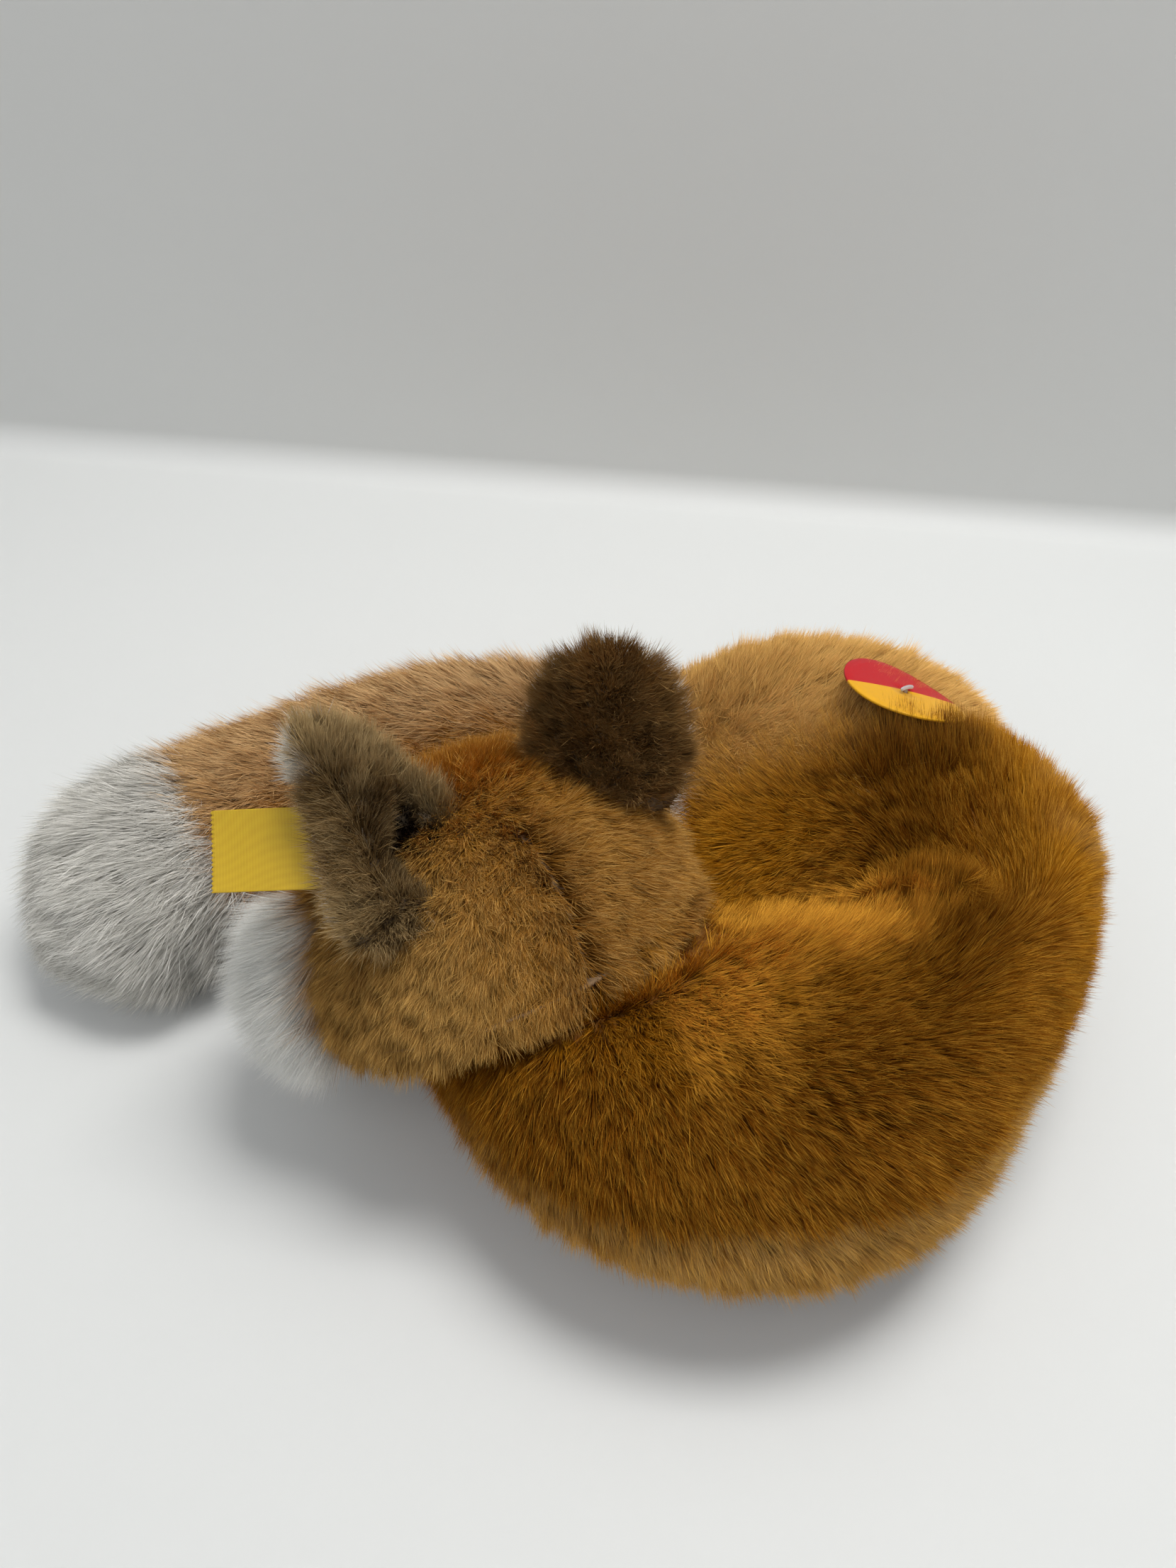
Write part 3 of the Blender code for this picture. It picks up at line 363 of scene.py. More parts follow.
def growFur(name, roots, flow, fur, coat, material, body):
    # each hair leaves the skin at one lean and bends over to a second along the flow; short pile is a
    # single tapered face, long fur a strip of two; a soft noise leans neighbours together into locks
    fur = {**plainFur, **fur}
    random, place, normal = roots["random"], roots["place"], roots["normal"]
    count = len(place)
    lock, wisp = (np.stack([waves(place, scale, seed + k) for k in range(3)], -1)
                  for scale, seed in ((fur["lock"], fur["seed"]), (fur["lock"] * 0.4, fur["seed"] + 9)))
    flow = flow - normal * (flow * normal).sum(-1, keepdims=True)
    flow = unit(flow + lock * fur["curl"] + wisp * fur["wisp"]
                + random.normal(scale=fur["mess"], size=(count, 3)))
    flow = unit(flow - normal * (flow * normal).sum(-1, keepdims=True))
    stand = lock[:, :1] * fur["stray"] + random.normal(scale=fur["stray"], size=(count, 1))
    lift = roots.get("lift", np.zeros(count))[:, None]
    low, high = (unit(normal * np.cos(lean) + flow * np.sin(lean)) for lean in (
        np.clip(math.radians(fur["lean"][0]) * (1.0 - 0.75 * lift) + stand, 0.05, 1.45),
        np.clip(math.radians(fur["lean"][1]) * (1.0 - 0.75 * lift) + stand * 1.5, 0.05, 1.65)))
    length = fur["length"] * random.uniform(*fur["vary"], (count, 1)) * (1.0 + 0.12 * lock[:, 1:2])
    length = length * (1.0 + 0.35 * lift)
    if "trim" in roots:
        length = length * roots["trim"][:, None]
    side = unit(np.cross(low, normal))
    twist = random.uniform(-0.7, 0.7, (count, 1))
    side = side * np.cos(twist) + np.cross(low, side) * np.sin(twist)
    half = side * (fur["width"] / 2 * random.uniform(0.7, 1.25, (count, 1)))
    root = place - normal * fur["sunk"]
    # tips gather towards the tops of a fine noise, which parts the pile into tufts
    gather = uphill(place, fur["tuft"], fur["seed"] + 21) * fur["gather"]
    bend = root + low * length * fur["knee"] + gather * 0.3
    end = bend + high * length * (1 - fur["knee"]) + gather * 0.7
    if fur["bent"]:
        points = [root - half, root + half, bend - half * 0.72, bend + half * 0.72, end]
        corners, starts, heights = [0, 1, 3, 2, 2, 3, 4], [0, 4], [0.0, 0.0, fur["knee"], fur["knee"], 1.0]
    else:
        points = [root - half, root + half, end]
        corners, starts, heights = [0, 1, 2], [0], [0.0, 0.0, 1.0]
    points, knots = np.stack(points, 1), len(heights)
    points[..., 2] = np.maximum(points[..., 2], overFloor["hair"])
    mesh = bpy.data.meshes.new(name)
    mesh.vertices.add(knots * count)
    mesh.vertices.foreach_set("co", points.astype(np.float32).ravel())
    steps = np.arange(count)[:, None]
    loops = (np.array(corners) + knots * steps).ravel()
    mesh.loops.add(len(loops))
    mesh.loops.foreach_set("vertex_index", loops.astype(np.int32))
    mesh.polygons.add(len(starts) * count)
    loopStarts = (np.array(starts) + len(corners) * steps).ravel()
    mesh.polygons.foreach_set("loop_start", loopStarts.astype(np.int32))
    mesh.update(calc_edges=True)
    mesh.shade_smooth()
    strand, zones = np.ones((2, count, knots, 4), np.float32)
    strand[..., 0] = heights
    strand[..., 1] = random.random(count)[:, None]
    strand[..., 2] = np.clip(coat["patch"], 0.0, 1.0)[:, None]
    for channel, key in enumerate(("first", "second", "third")):
        zones[..., channel] = np.clip(coat.get(key, np.zeros(count)), 0.0, 1.0)[:, None]
    for layer, values in (("strand", strand), ("coat", zones)):
        mesh.attributes.new(layer, "FLOAT_COLOR", "POINT").data.foreach_set("color", values.ravel())
    mesh.materials.append(material)
    piece = addObject(name, mesh)
    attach(piece, body)
    print(name, count, "hairs", len(starts) * count, "faces")


def streaks(place, flow, scale, seed):
    # fine noise averaged over four places along the pile, which draws it out into streaks
    heading = unit(flow) * scale
    return sum(waves(place + heading * k, scale, seed) for k in (-1.2, -0.4, 0.4, 1.2)) / 2.6


def growParts(names, shares, roots, flow, fur, coat, material, body):
    # the same fur as several pieces, divided along the surface's first parameter
    bounds = np.concatenate([[0.0], np.cumsum(shares)]) / sum(shares)
    for name, low, high in zip(names, bounds[:-1], bounds[1:]):
        here = (roots["u"] >= low) & (roots["u"] < high)
        some = {key: value[here] if isinstance(value, np.ndarray) else value for key, value in roots.items()}
        growFur(name, some, flow[here], fur, {key: value[here] for key, value in coat.items()}, material,
                body)


def makeSkin(name, form, inset, backing, body, nodes, poles=(True, True), merge=0.00002):
    # the stuffed skin that the fur stands on, drawn in from the fur's outer surface
    points = form.points - form.normals * inset
    points[..., 2] = np.maximum(points[..., 2], overFloor["skin"])
    material = backingMaterial(name.replace("Skin", "Backing"), backing)
    piece = finishMesh(name, gridMesh(name, points, True, poles), material, merge)
    dress(piece, body, nodes)
    return Form(points)


# places shared by the pieces

bodyShape = {"length": 0.206, "width": 0.196, "height": 0.077, "crease": 0.03, "seams": (0.04, 0.052)}
headShape = {"length": 0.113, "width": 0.1, "height": 0.097, "turn": 124.0, "pitch": 25.0, "seam": 40.0,
             "fold": (-0.37, -0.39, 0.89), "set": (-0.2, 0.67, 0.35)}


def bodyPlace(x, y):
    return np.array((x * bodyShape["length"] / 2, y * bodyShape["width"] / 2, 0.0))


turn, pitch, seam = (math.radians(headShape[key]) for key in ("turn", "pitch", "seam"))
headForward = np.array((math.cos(turn), math.sin(turn), 0.0))
headSide = np.array((headForward[1], -headForward[0], 0.0))
neckFold = np.array(joints["head_lift"]["pos_m"])
shift = neckFold - bodyPlace(*headShape["fold"][:2]) - up * headShape["fold"][2] * bodyShape["height"]
noseAxis = headForward * math.cos(pitch) - up * math.sin(pitch)
headUp = headForward * math.sin(pitch) + up * math.cos(pitch)
headCentre = (neckFold + headSide * headShape["set"][0] * headShape["width"] / 2
              + headForward * headShape["set"][1] * headShape["length"] / 2
              - up * headShape["set"][2] * headShape["height"] / 2)
seamDown = headForward * math.cos(seam) - up * math.sin(seam)
seamOut = np.cross(headSide, seamDown)
tailRoot = bodyPlace(-0.47, 0.77) + shift
tagRoot = np.array(joints["tag_spin"]["pos_m"])
tagOut = unit(np.array(joints["tag_spin"]["axis"]))

# body: columns round the base, each from the base's middle out, up and in to the crease

bodyColumns = np.array([
    (-0.98, -0.16, 0, 0.84), (-0.86, -0.44, 0, 0.86), (-0.68, -0.72, 0, 0.91), (-0.44, -0.91, 0, 0.97),
    (-0.16, -0.99, 1, 1.0), (0.12, -0.97, 2, 1.0), (0.37, -0.84, 3, 1.0), (0.53, -0.6, 4, 1.0),
    (0.7, -0.36, 5, 0.98), (0.82, -0.09, 5, 0.96), (0.91, 0.2, 5, 0.93), (0.85, 0.46, 5, 0.9),
    (0.7, 0.66, 4, 0.89), (0.48, 0.77, 3, 0.88), (0.24, 0.82, 2, 0.88), (0.0, 0.87, 1, 0.85),
    (-0.25, 0.99, 0, 0.76), (-0.56, 1.0, 0, 0.68), (-0.58, 0.5, 0, 0.66), (-0.7, 0.17, 0, 0.58),
    (-0.88, 0.06, 0, 0.66)])
creaseStations = np.array([(-0.2, -0.05, 1.0), (-0.1, -0.06, 1.0), (0.02, -0.07, 0.9), (0.13, -0.09, 0.75),
                           (0.26, -0.13, 0.45), (0.38, -0.19, 0.12)])
bodySection = np.array([(0.55, 0.0), (0.24, 0.0), (0.05, 0.22), (-0.01, 0.52), (0.09, 0.83), (0.33, 1.03),
                        (0.62, 1.02), (0.86, 0.88)])


def bodyForm():
    # a point of a column: from its outer place towards its station by the way in, raised by its height
    half = np.array((bodyShape["length"] / 2, bodyShape["width"] / 2))
    station = creaseStations[bodyColumns[:, 2].astype(int)]
    outer, inner = bodyColumns[:, :2] * half, station[:, :2] * half
    wayIn, rise = bodySection[:, 0], bodySection[:, 1]
    plan = outer[:, None] * (1 - wayIn[None, :, None]) + inner[:, None] * wayIn[None, :, None]
    height = bodyColumns[:, 3:4] * bodyShape["height"] * rise[None]
    middle = np.concatenate([plan, height[..., None]], -1)
    base = np.concatenate([inner, np.zeros((len(inner), 1))], -1)[:, None]
    dip = (bodyShape["height"] - bodyShape["crease"] * station[:, 2])[:, None]
    top = np.concatenate([inner, dip], -1)[:, None]
    points = softForm(np.concatenate([base, middle, top], 1) + shift, 420, 170, False).points
    # flat seam face under the head, and flat root face under the tail
    local = points - neckFold
    height = local @ seamOut
    inSeam = step(0.04, 0.033, local @ headSide) * (local @ seamDown > -0.012)
    points = points - seamOut * (np.clip(height, 0.0, None) * inSeam)[..., None]
    atTail = (points[..., 1] > tailRoot[1] - 0.045) & (points[..., 0] < tailRoot[0])
    points[..., 0] = np.where(atTail, tailRoot[0] - 0.0005, points[..., 0])
    return Form(points), height * inSeam > 0.0005, atTail


bodyFur = {"hairs": 560000, "length": 0.0092, "width": 0.00029, "lean": (40, 64), "lock": 0.0075, "curl": 0.3,
           "wisp": 0.3, "mess": 0.2, "inset": 0.0046, "seed": 3}
bodyCoat = {"main": (0.31, 0.098, 0.001), "streak": (0.45, 0.17, 0.003), "first": (0.22, 0.06, 0.001),
            "second": (0.74, 0.34, 0.035), "third": (0.63, 0.38, 0.125), "tip": (0.92, 0.5, 0.06),
            "tipTint": 0.55, "backing": (0.3, 0.11, 0.01)}
# plan lines of the dark back and the gold fold, and how far from them the fur is wholly and no longer so
bodyMarks = {"back": np.array([(0.094, 0.02), (0.092, -0.02), (0.093, -0.046), (0.076, -0.068),
                               (0.058, -0.072)]),
             "backReach": (0.038, 0.012), "crest": (0.014, 0.003),
             "gold": np.array([(0.077, -0.0235), (0.062, -0.027), (0.044, -0.03), (0.037, -0.05)]),
             "goldReach": (0.021, 0.005), "creaseEnd": np.array((0.09, -0.019)), "creaseFill": 0.0035,
             "seamDepth": 0.0022, "seamWidth": 0.0028}
# the swelling and the tuft of standing pile on which the tag's card leans
tagBed = {"place": np.array((0.095, 0.0195)), "swell": 0.0085, "reach": (0.032, 0.006), "over": 0.045,
          "tuft": (0.024, 0.0085), "under": 0.0155, "gap": 0.0088}


def lineDistance(points, line):
    # distance in plan from each point to the nearest stretch of a line
    best = np.full(len(points), 1.0)
    for start, end in zip(line[:-1], line[1:]):
        run = end - start
        t = np.clip(((points[:, :2] - start) @ run) / (run @ run), 0.0, 1.0)
        best = np.minimum(best, sizes(points[:, :2] - start - t[:, None] * run))
    return best


def nearCreaseEnd(place):
    return step(0.017, 0.004, sizes((place[..., :2] - bodyMarks["creaseEnd"]) * (0.8, 1.2)))


def seamHeight(place):
    # the lower seam runs higher along the near side than round the right end
    low, high = bodyShape["seams"]
    x, y = place[..., 0], place[..., 1]
    return low + (high - low) * (step(0.14, 0.1, x) * step(-0.02, 0.055, x) * step(-0.02, -0.06, y))


def plump(place):
    # a swelling before the hang tag, which leans on it
    away = sizes((place[..., :2] - tagBed["place"] + (0.002, 0.001)) * (0.75, 1.0))
    return tagBed["swell"] * step(*tagBed["reach"], away) * (place[..., 2] > tagBed["over"])


def underTag(place, length):
    # the share of the pile's length that fits between the skin and the tag's card
    height = (place - tagRoot) @ tagOut
    away = sizes(place - tagRoot - height[:, None] * tagOut)
    room = np.clip((tagBed["gap"] - height) * 1.15 / length, 0.15, 9.0)
    return np.where(away < tagBed["under"], room, 9.0)


def tuftBeforeTag(place):
    away = sizes((place[:, :2] - tagBed["place"]) / tagBed["tuft"])
    return step(1.0, 0.45, away + 0.3 * waves(place, 0.006, 38))


def tagLift(place):
    # 1 under the hang tag and in the tuft before it, where the pile stands up
    return np.maximum(0.3 * step(0.02, 0.015, sizes(place - tagRoot)), tuftBeforeTag(place) * 0.85)


def bodyFlow(roots):
    # along the body, down and out at its foot, in to the crease at the top, and across at its end
    place, v = roots["place"], roots["v"]
    outward = -roots["along"]
    inner = step(0.78, 0.93, v)[:, None]
    flow = roots["across"] * 0.85 + outward * (0.62 * (1 - inner) - 0.55 * inner)
    low = step(0.03, 0.008, place[:, 2])[:, None]
    flow = flow * (1 - 0.6 * low) + outward * 0.7 * low - up * 0.5 * low
    pit = nearCreaseEnd(place) * (v > 0.5)
    return flow * (1 - pit)[:, None] + np.array((0.85, -0.25, 0.0)) * pit[:, None], pit


def bodyTrim(place, v):
    # shorter where the head lies on it, full again towards the head's edge, longer along the foot
    local = place - neckFold
    underHead = (step(0.0075, 0.0045, -local @ seamOut) * (local @ seamDown > -0.004)
                 * step(0.046, 0.036, np.abs((place - headCentre) @ headSide)))
    trim = np.where(v < 0.2, 0.45, 1.0) * (1.0 + 0.25 * step(0.02, 0.006, place[:, 2]) * (v > 0.2))
    trim = trim * (1.0 - 0.6 * underHead) * (1.0 - 0.3 * step(0.88, 0.97, v))
    return np.minimum(trim * (1.0 + 0.3 * tuftBeforeTag(place)), underTag(place, bodyFur["length"]))


def bodyZones(place, v, flow, spine):
    # first dark over the back, with painted shade on the lower near side and in the groove over the seam, where
    # the dark back fabric also hangs over it; second gold; third pale: the pale fabric at the rim, and painted
    # sheen at the far side and the right end
    x, y, height = place.T
    orange = lineDistance(place, bodyMarks["gold"]) + 0.005 * waves(place, 0.014, 32)
    orange = step(*bodyMarks["goldReach"], orange)
    orange = orange * (height > 0.04)
    # painted sheen: the far side is lighter where the pile is seen edge-on
    far = step(0.012, 0.045, y + 0.1 * np.clip(x - 0.08, 0, 1)) * step(0.125, 0.08, x)
    overSeam = height - seamHeight(place)
    rim = step(0.0015, -0.0015, overSeam + 0.0016 * waves(place, 0.012, 33)) * (v < 0.6) * step(-0.03, 0.0, x)
    rim = rim * (0.72 + 0.28 * step(0.02, 0.04, height)) * (0.8 + 0.5 * waves(place, 0.006, 39))
    # painted sheen: the right end is lighter where the pile is seen edge-on
    rightEdgeSheen = step(0.12, 0.15, x + 0.005 * waves(place, 0.015, 34))
    pale = np.clip(np.maximum(np.maximum(far * 0.85, rim * 0.9), rightEdgeSheen * 0.8), 0, 1)
    # the dark back, then painted shade on the lower near side, then painted shade in the groove just over the
    # seam, where the dark back fabric also hangs over it
    dark = (step(*bodyMarks["backReach"], spine) + 1.2 * step(-0.045, -0.07, y) * step(0.074, 0.064, height)
            + hill(overSeam - 0.003, bodyMarks["seamWidth"]) * (v < 0.6) + 0.45 * waves(place, 0.007, 37))
    patch = 0.45 + 0.7 * streaks(place, flow, 0.0042, 35) + 0.4 * waves(place, 0.016, 36)
    return {"patch": patch, "first": np.clip(dark, 0, 1) * (1 - rim) * (1 - rightEdgeSheen), "second": orange,
            "third": pale}


def makeBody():
    form, seamFace, atTail = bodyForm()
    # the skin comes up to the surface in the crease, where the two halves meet
    inset = bodyFur["inset"] * (1.0 - step(0.88, 1.0, form.v))[None, :, None]
    # the lower seam of the side is drawn in a little
    rise = form.points[..., 2:] - seamHeight(form.points)[..., None]
    onSide = ((form.v > 0.2) & (form.v < 0.6))[None, :, None]
    seamLine = hill(rise, bodyMarks["seamWidth"]) * bodyMarks["seamDepth"] * onSide
    points = form.points - form.normals * (inset + seamLine)
    # the hollow past the crease's end fills with pile, and the pile under the tag is plump
    points[..., 2] += bodyMarks["creaseFill"] * nearCreaseEnd(points) * (form.v > 0.5) + plump(points)
    skin = makeSkin("bodySkin", Form(points), 0.0, bodyCoat["backing"], "torso",
                    ["back_panel", "belly_panel", "torso_stuffing"], (False, False), 0.0006)
    skin.normals = form.normals

    def weight(place, normal, v):
        return (np.where(atTail[:, :-1], 0.0, 1.0) * np.where(seamFace[:, :-1], 0.5, 1.0)
                * np.where(v < 0.17, 0.1, 1.0) * np.where(place[..., 2] < 0.004, 0.3, 1.0))

    roots = plant(skin, bodyFur["hairs"], 5, weight)
    place, v = roots["place"], roots["v"]
    flow, pit = bodyFlow(roots)
    spine = lineDistance(place, bodyMarks["back"]) + 0.005 * waves(place, 0.02, 31)
    crest = 0.7 * step(*bodyMarks["crest"], spine) * (place[:, 2] > 0.045)
    roots["lift"] = np.clip(crest + tagLift(place) + 0.3 * pit, 0, 1)
    roots["trim"] = bodyTrim(place, v)
    growParts(("nearFur", "bendFur", "hipFur", "farFur"), (0.24, 0.22, 0.24, 0.3), roots, flow, bodyFur,
              bodyZones(place, v, flow, spine), furMaterial("bodyFur", bodyCoat), "torso")


makeBody()
print("body done")

# haunch: an egg set into the far side

haunch = {"size": (0.112, 0.084, 0.07), "place": (0.2, 0.55), "rise": 0.57,
          "edge": np.array([(0.055, 0.008), (0.079, 0.03), (0.093, 0.036), (0.107, 0.038), (0.119, 0.0365),
                            (0.129, 0.032)])}
haunchFur = {"hairs": 120000, "length": 0.009, "width": 0.00029, "lean": (40, 64), "lock": 0.008, "curl": 0.3,
             "mess": 0.2, "inset": 0.0046, "seed": 21}
haunchCoat = {"main": (0.86, 0.52, 0.16), "streak": (0.64, 0.34, 0.075), "first": (0.28, 0.095, 0.002),
              "tip": (0.95, 0.64, 0.24), "tipTint": 0.5, "backing": (0.33, 0.18, 0.06)}


def eggForm(size, centre, columns=160, rows=90):
    # radius times sine and cosine of two angles, one round and one from the bottom to the top
    a = np.arange(columns)[:, None] / columns * math.tau
    b = (np.linspace(0.0, 1.0, rows)[None] - 0.5) * math.pi
    rise = np.broadcast_to(np.sin(b), (columns, rows))
    shape = np.stack([np.cos(a) * np.cos(b), np.sin(a) * np.cos(b), rise], -1)
    return Form(shape * np.array(size) / 2 + centre)


def makeHaunch():
    centre = bodyPlace(*haunch["place"]) + shift + up * haunch["size"][2] * haunch["rise"]
    form = eggForm(haunch["size"], centre)
    form.points[..., 2] += plump(form.points)
    skin = makeSkin("haunchSkin", form, haunchFur["inset"], haunchCoat["backing"], "torso",
                    ["haunch_cover", "haunch_stuffing"])

    def weight(place, normal, v):
        facing = normal[..., 1] * 0.9 + normal[..., 2] * 0.8 + 0.25
        return np.where((facing > 0) & (normal[..., 2] > -0.75), 1.0, 0.02)

    roots = plant(skin, haunchFur["hairs"], 22, weight)
    place = roots["place"]
    flow = np.array((0.85, 0.1, -0.3)) + roots["normal"] * 0.2 + (place - centre) * (4.0, 10.0, 0.0)
    edge = np.interp(place[:, 0], haunch["edge"][:, 0], haunch["edge"][:, 1])
    dark = step(0.004, -0.006, place[:, 1] - edge + 0.003 * waves(place, 0.01, 42))
    dark = dark * step(0.062, 0.085, place[:, 0]) * (0.75 + 0.5 * waves(place, 0.008, 44))
    roots["lift"] = np.clip(tagLift(place), 0, 1)
    roots["trim"] = np.minimum(1.0 + 0.3 * tuftBeforeTag(place), underTag(place, haunchFur["length"]))
    patch = 0.4 + 0.6 * streaks(place, flow, 0.0042, 41) + 0.3 * waves(place, 0.016, 43)
    growFur("haunchFur", roots, flow, haunchFur, {"patch": patch, "first": dark},
            furMaterial("haunchFur", haunchCoat), "torso")


makeHaunch()
print("haunch done")

# head: rings from the nape to the nose, cut flat at the neck seam

headRings = np.array([(-0.72, 0.55, 0.5, 0.5), (-0.44, 0.92, 0.86, 0.86), (-0.08, 1.06, 1.02, 1.0),
                      (0.24, 1.1, 0.95, 0.84), (0.5, 1.06, 0.74, 0.54), (0.69, 0.62, 0.46, 0.38),
                      (0.82, 0.31, 0.26, 0.3), (0.94, 0.22, 0.18, 0.26)])
headFur = {"hairs": 300000, "length": 0.0078, "width": 0.00026, "lean": (38, 62), "lock": 0.006, "curl": 0.42,
           "wisp": 0.42, "mess": 0.22, "inset": 0.004, "seed": 51}
headCoat = {"main": (0.47, 0.2, 0.02), "streak": (0.29, 0.1, 0.006), "first": (0.66, 0.29, 0.02),
            "root": 0.46, "second": (0.97, 0.97, 0.94), "third": (0.42, 0.225, 0.055), "tip": (0.97, 0.64, 0.21),
            "tipTint": 0.58, "white": "second", "backing": (0.36, 0.22, 0.11)}
headMarks = {"seamDepth": 0.0014, "ruffSwell": 0.004, "ruffLength": 0.75, "eye": (0.66, 0.5, 0.36)}


def headPoint(along, side, rise):
    # shares of the head's half sizes, from its centre
    return (headCentre + noseAxis * (np.asarray(along) * headShape["length"] / 2)[..., None]
            + headSide * (np.asarray(side) * headShape["width"] / 2)[..., None]
            + headUp * (np.asarray(rise) * headShape["height"] / 2)[..., None])


def headShares(points):
    # along, sideways and up as shares of the half sizes, and how far it is sideways from the back's seam
    local = points - headCentre
    along, side, rise = (local @ axis / (headShape[key] / 2) for axis, key in
                         ((noseAxis, "length"), (headSide, "width"), (headUp, "height")))
    return along, side, rise, side - 0.03 - 0.04 * np.sin(along * 9.0)


def offNeck(points):
    # the height over the neck's seam face, and the points pushed out to just over it
    height = (points - neckFold) @ seamOut
    return height, points + seamOut * np.clip(0.0004 - height, 0.0, None)[..., None]


def headForm():
    # each ring is an ellipse whose upper and lower halves have their own heights
    angle = np.arange(14)[:, None] / 14 * math.tau
    rise = np.cos(angle) * np.where(np.cos(angle) > 0, headRings[:, 2], headRings[:, 3])
    rings = headPoint(np.broadcast_to(headRings[:, 0], rise.shape), np.sin(angle) * headRings[:, 1], rise)
    ends = [np.broadcast_to(headPoint(share, 0.0, 0.0), (14, 1, 3)) for share in (-0.9, 1.0)]
    form = softForm(np.concatenate([ends[0], rings, ends[1]], 1), 260, 200)
    height, points = offNeck(form.points)
    normals, cut = form.normals, height < 0.0
    form = Form(points)
    form.normals = np.where(cut[..., None], -seamOut, normals)
    return form, cut


def headSkin(form):
    # a seam runs up the middle of the back of the head, and the cheeks' ruffs stand out
    along, side, rise, parting = headShares(form.points)
    dart = headMarks["seamDepth"] * hill(parting, 0.05) * step(-0.3, -0.45, along) * step(0.0, 0.2, rise)
    swell = (headMarks["ruffSwell"] * step(0.75, 1.0, np.abs(side)) * step(0.05, 0.25, along)
             * step(0.75, 0.5, along) * step(0.5, 0.2, rise))
    points = offNeck(form.points - form.normals * (headFur["inset"] + dart - swell)[..., None])[1]
    skin = makeSkin("headSkin", Form(points), 0.0, headCoat["backing"], "head",
                    ["crown_cover", "cheek_left_cover", "cheek_right_cover", "muzzle_cover", "chin_cover",
                     "head_stuffing"])
    skin.normals = form.normals
    return skin


def makeHead():
    form, cut = headForm()
    bare = cut[:, :-1]
    roots = plant(headSkin(form), headFur["hairs"], 52, lambda place, normal, v: np.where(bare, 0.0, 1.0))
    place = roots["place"]
    along, side, rise, parting = headShares(place)
    atDart = step(0.3, 0.02, np.abs(parting)) * step(-0.25, -0.45, along)
    lateral = headSide * np.sign(side)[:, None] * step(0.05, 0.5, np.abs(side))[:, None]
    flow = -headForward * 0.75 + lateral * 0.6 - up * step(0.35, 0.9, np.abs(side))[:, None] * 0.55
    flow = flow + lateral * step(0.2, 0.6, along)[:, None] * 0.8
    flow = flow + headSide * (np.sign(parting) * atDart * 0.6)[:, None]
    # second: white cheeks and chin, with the ruff's longer hair
    ruff = step(0.72, 0.8, np.abs(side)) * step(-0.02, 0.05, along) * step(0.56, 0.48, rise)
    white = np.maximum(step(0.02, -0.12, rise) * step(-0.02, 0.14, along) * step(0.95, 0.8, along), ruff)
    spread = headSide * np.sign(side)[:, None] - up * 0.35
    flow = flow * (1 - 0.7 * ruff)[:, None] + spread * (ruff * 1.2)[:, None]
    # first: the orange bridge and muzzle
    bridge = step(0.5, 0.2, np.abs(side)) * step(0.2, 0.45, rise) * step(-0.6, -0.1, along)
    bridge = bridge + step(0.62, 0.85, along)
    muzzle = step(0.45, 0.62, along) * step(0.75, 0.5, np.abs(side))
    # patch: streaks, darker at the seam and the nape's left, lighter behind the left ear
    patch = (0.35 + 0.5 * waves(place, 0.011, 61) + 0.7 * streaks(place, flow, 0.004, 62)
             + 0.55 * np.exp(-((side - 0.42) / 0.3) ** 2 - ((along + 0.58) / 0.16) ** 2)
             + 0.6 * step(0.14, 0.03, np.abs(parting)) * atDart)
    patch = patch + 0.5 * step(0.2, -0.1, rise) * step(0.75, 0.5, -side) * step(-0.3, -0.5, along)
    patch = patch - 0.5 * step(0.6, 0.8, -side) * step(-0.1, 0.15, rise)
    # third: the greyer sides
    grey = 0.15 + step(0.1, 0.6, -side) * step(0.35, -0.1, along) * 0.8 + step(0.7, 0.95, side) * 0.5
    zones = {"patch": patch * (1 - muzzle), "first": np.clip(bridge + muzzle, 0, 1) * 0.8, "second": white,
             "third": grey * (1 - white)}
    # the pile is short on the muzzle and round the eyes
    alongEye, sideEye, riseEye = headMarks["eye"]
    toEyes = np.minimum(*[sizes(place - headPoint(alongEye, way * sideEye, riseEye)) for way in (-1, 1)])
    roots["trim"] = 1.0 - 0.6 * step(0.55, 0.9, along) + headMarks["ruffLength"] * ruff
    roots["trim"] = roots["trim"] * (1.0 - 0.55 * step(0.014, 0.007, toEyes))
    roots["lift"] = 0.55 * ruff + 0.4 * step(0.2, 0.05, np.abs(parting)) * atDart
    growParts(("crownFur", "ruffFur"), (0.5, 0.5), roots, flow, headFur, zones,
              furMaterial("headFur", headCoat), "head")
    return form


headSurface = makeHead()
print("head done")

# nose and closed eyes

nose = {"size": (0.015, 0.0095, 0.011), "square": 0.8, "flare": 0.16, "droop": 0.12,
        "colour": (0.02, 0.017, 0.016)}
eye = {"place": (0.66, 0.52, 0.42), "span": 0.019, "sag": 0.28, "thread": 0.0017, "over": 0.0006,
       "colour": (0.03, 0.022, 0.018)}


def tubeMesh(name, path, radius, sides=12):
    # circles square to a path, with rounded ends where the radius runs to nothing
    path = np.asarray(path, float)
    heading = unit(np.gradient(path, axis=0))
    first = unit(np.cross(heading, up + np.array((0.013, 0.007, 0.0))))
    second = np.cross(heading, first)
    way = np.linspace(0.0, 1.0, len(path))
    ends = np.sqrt(np.clip(1 - (1 - np.minimum(way, 1 - way) * len(path) / 3).clip(0, 1) ** 2, 0, 1))
    angle = np.arange(sides)[:, None, None] / sides * math.tau
    points = path + (np.cos(angle) * first + np.sin(angle) * second) * (radius * ends)[:, None]
    return gridMesh(name, points, True, (True, True))


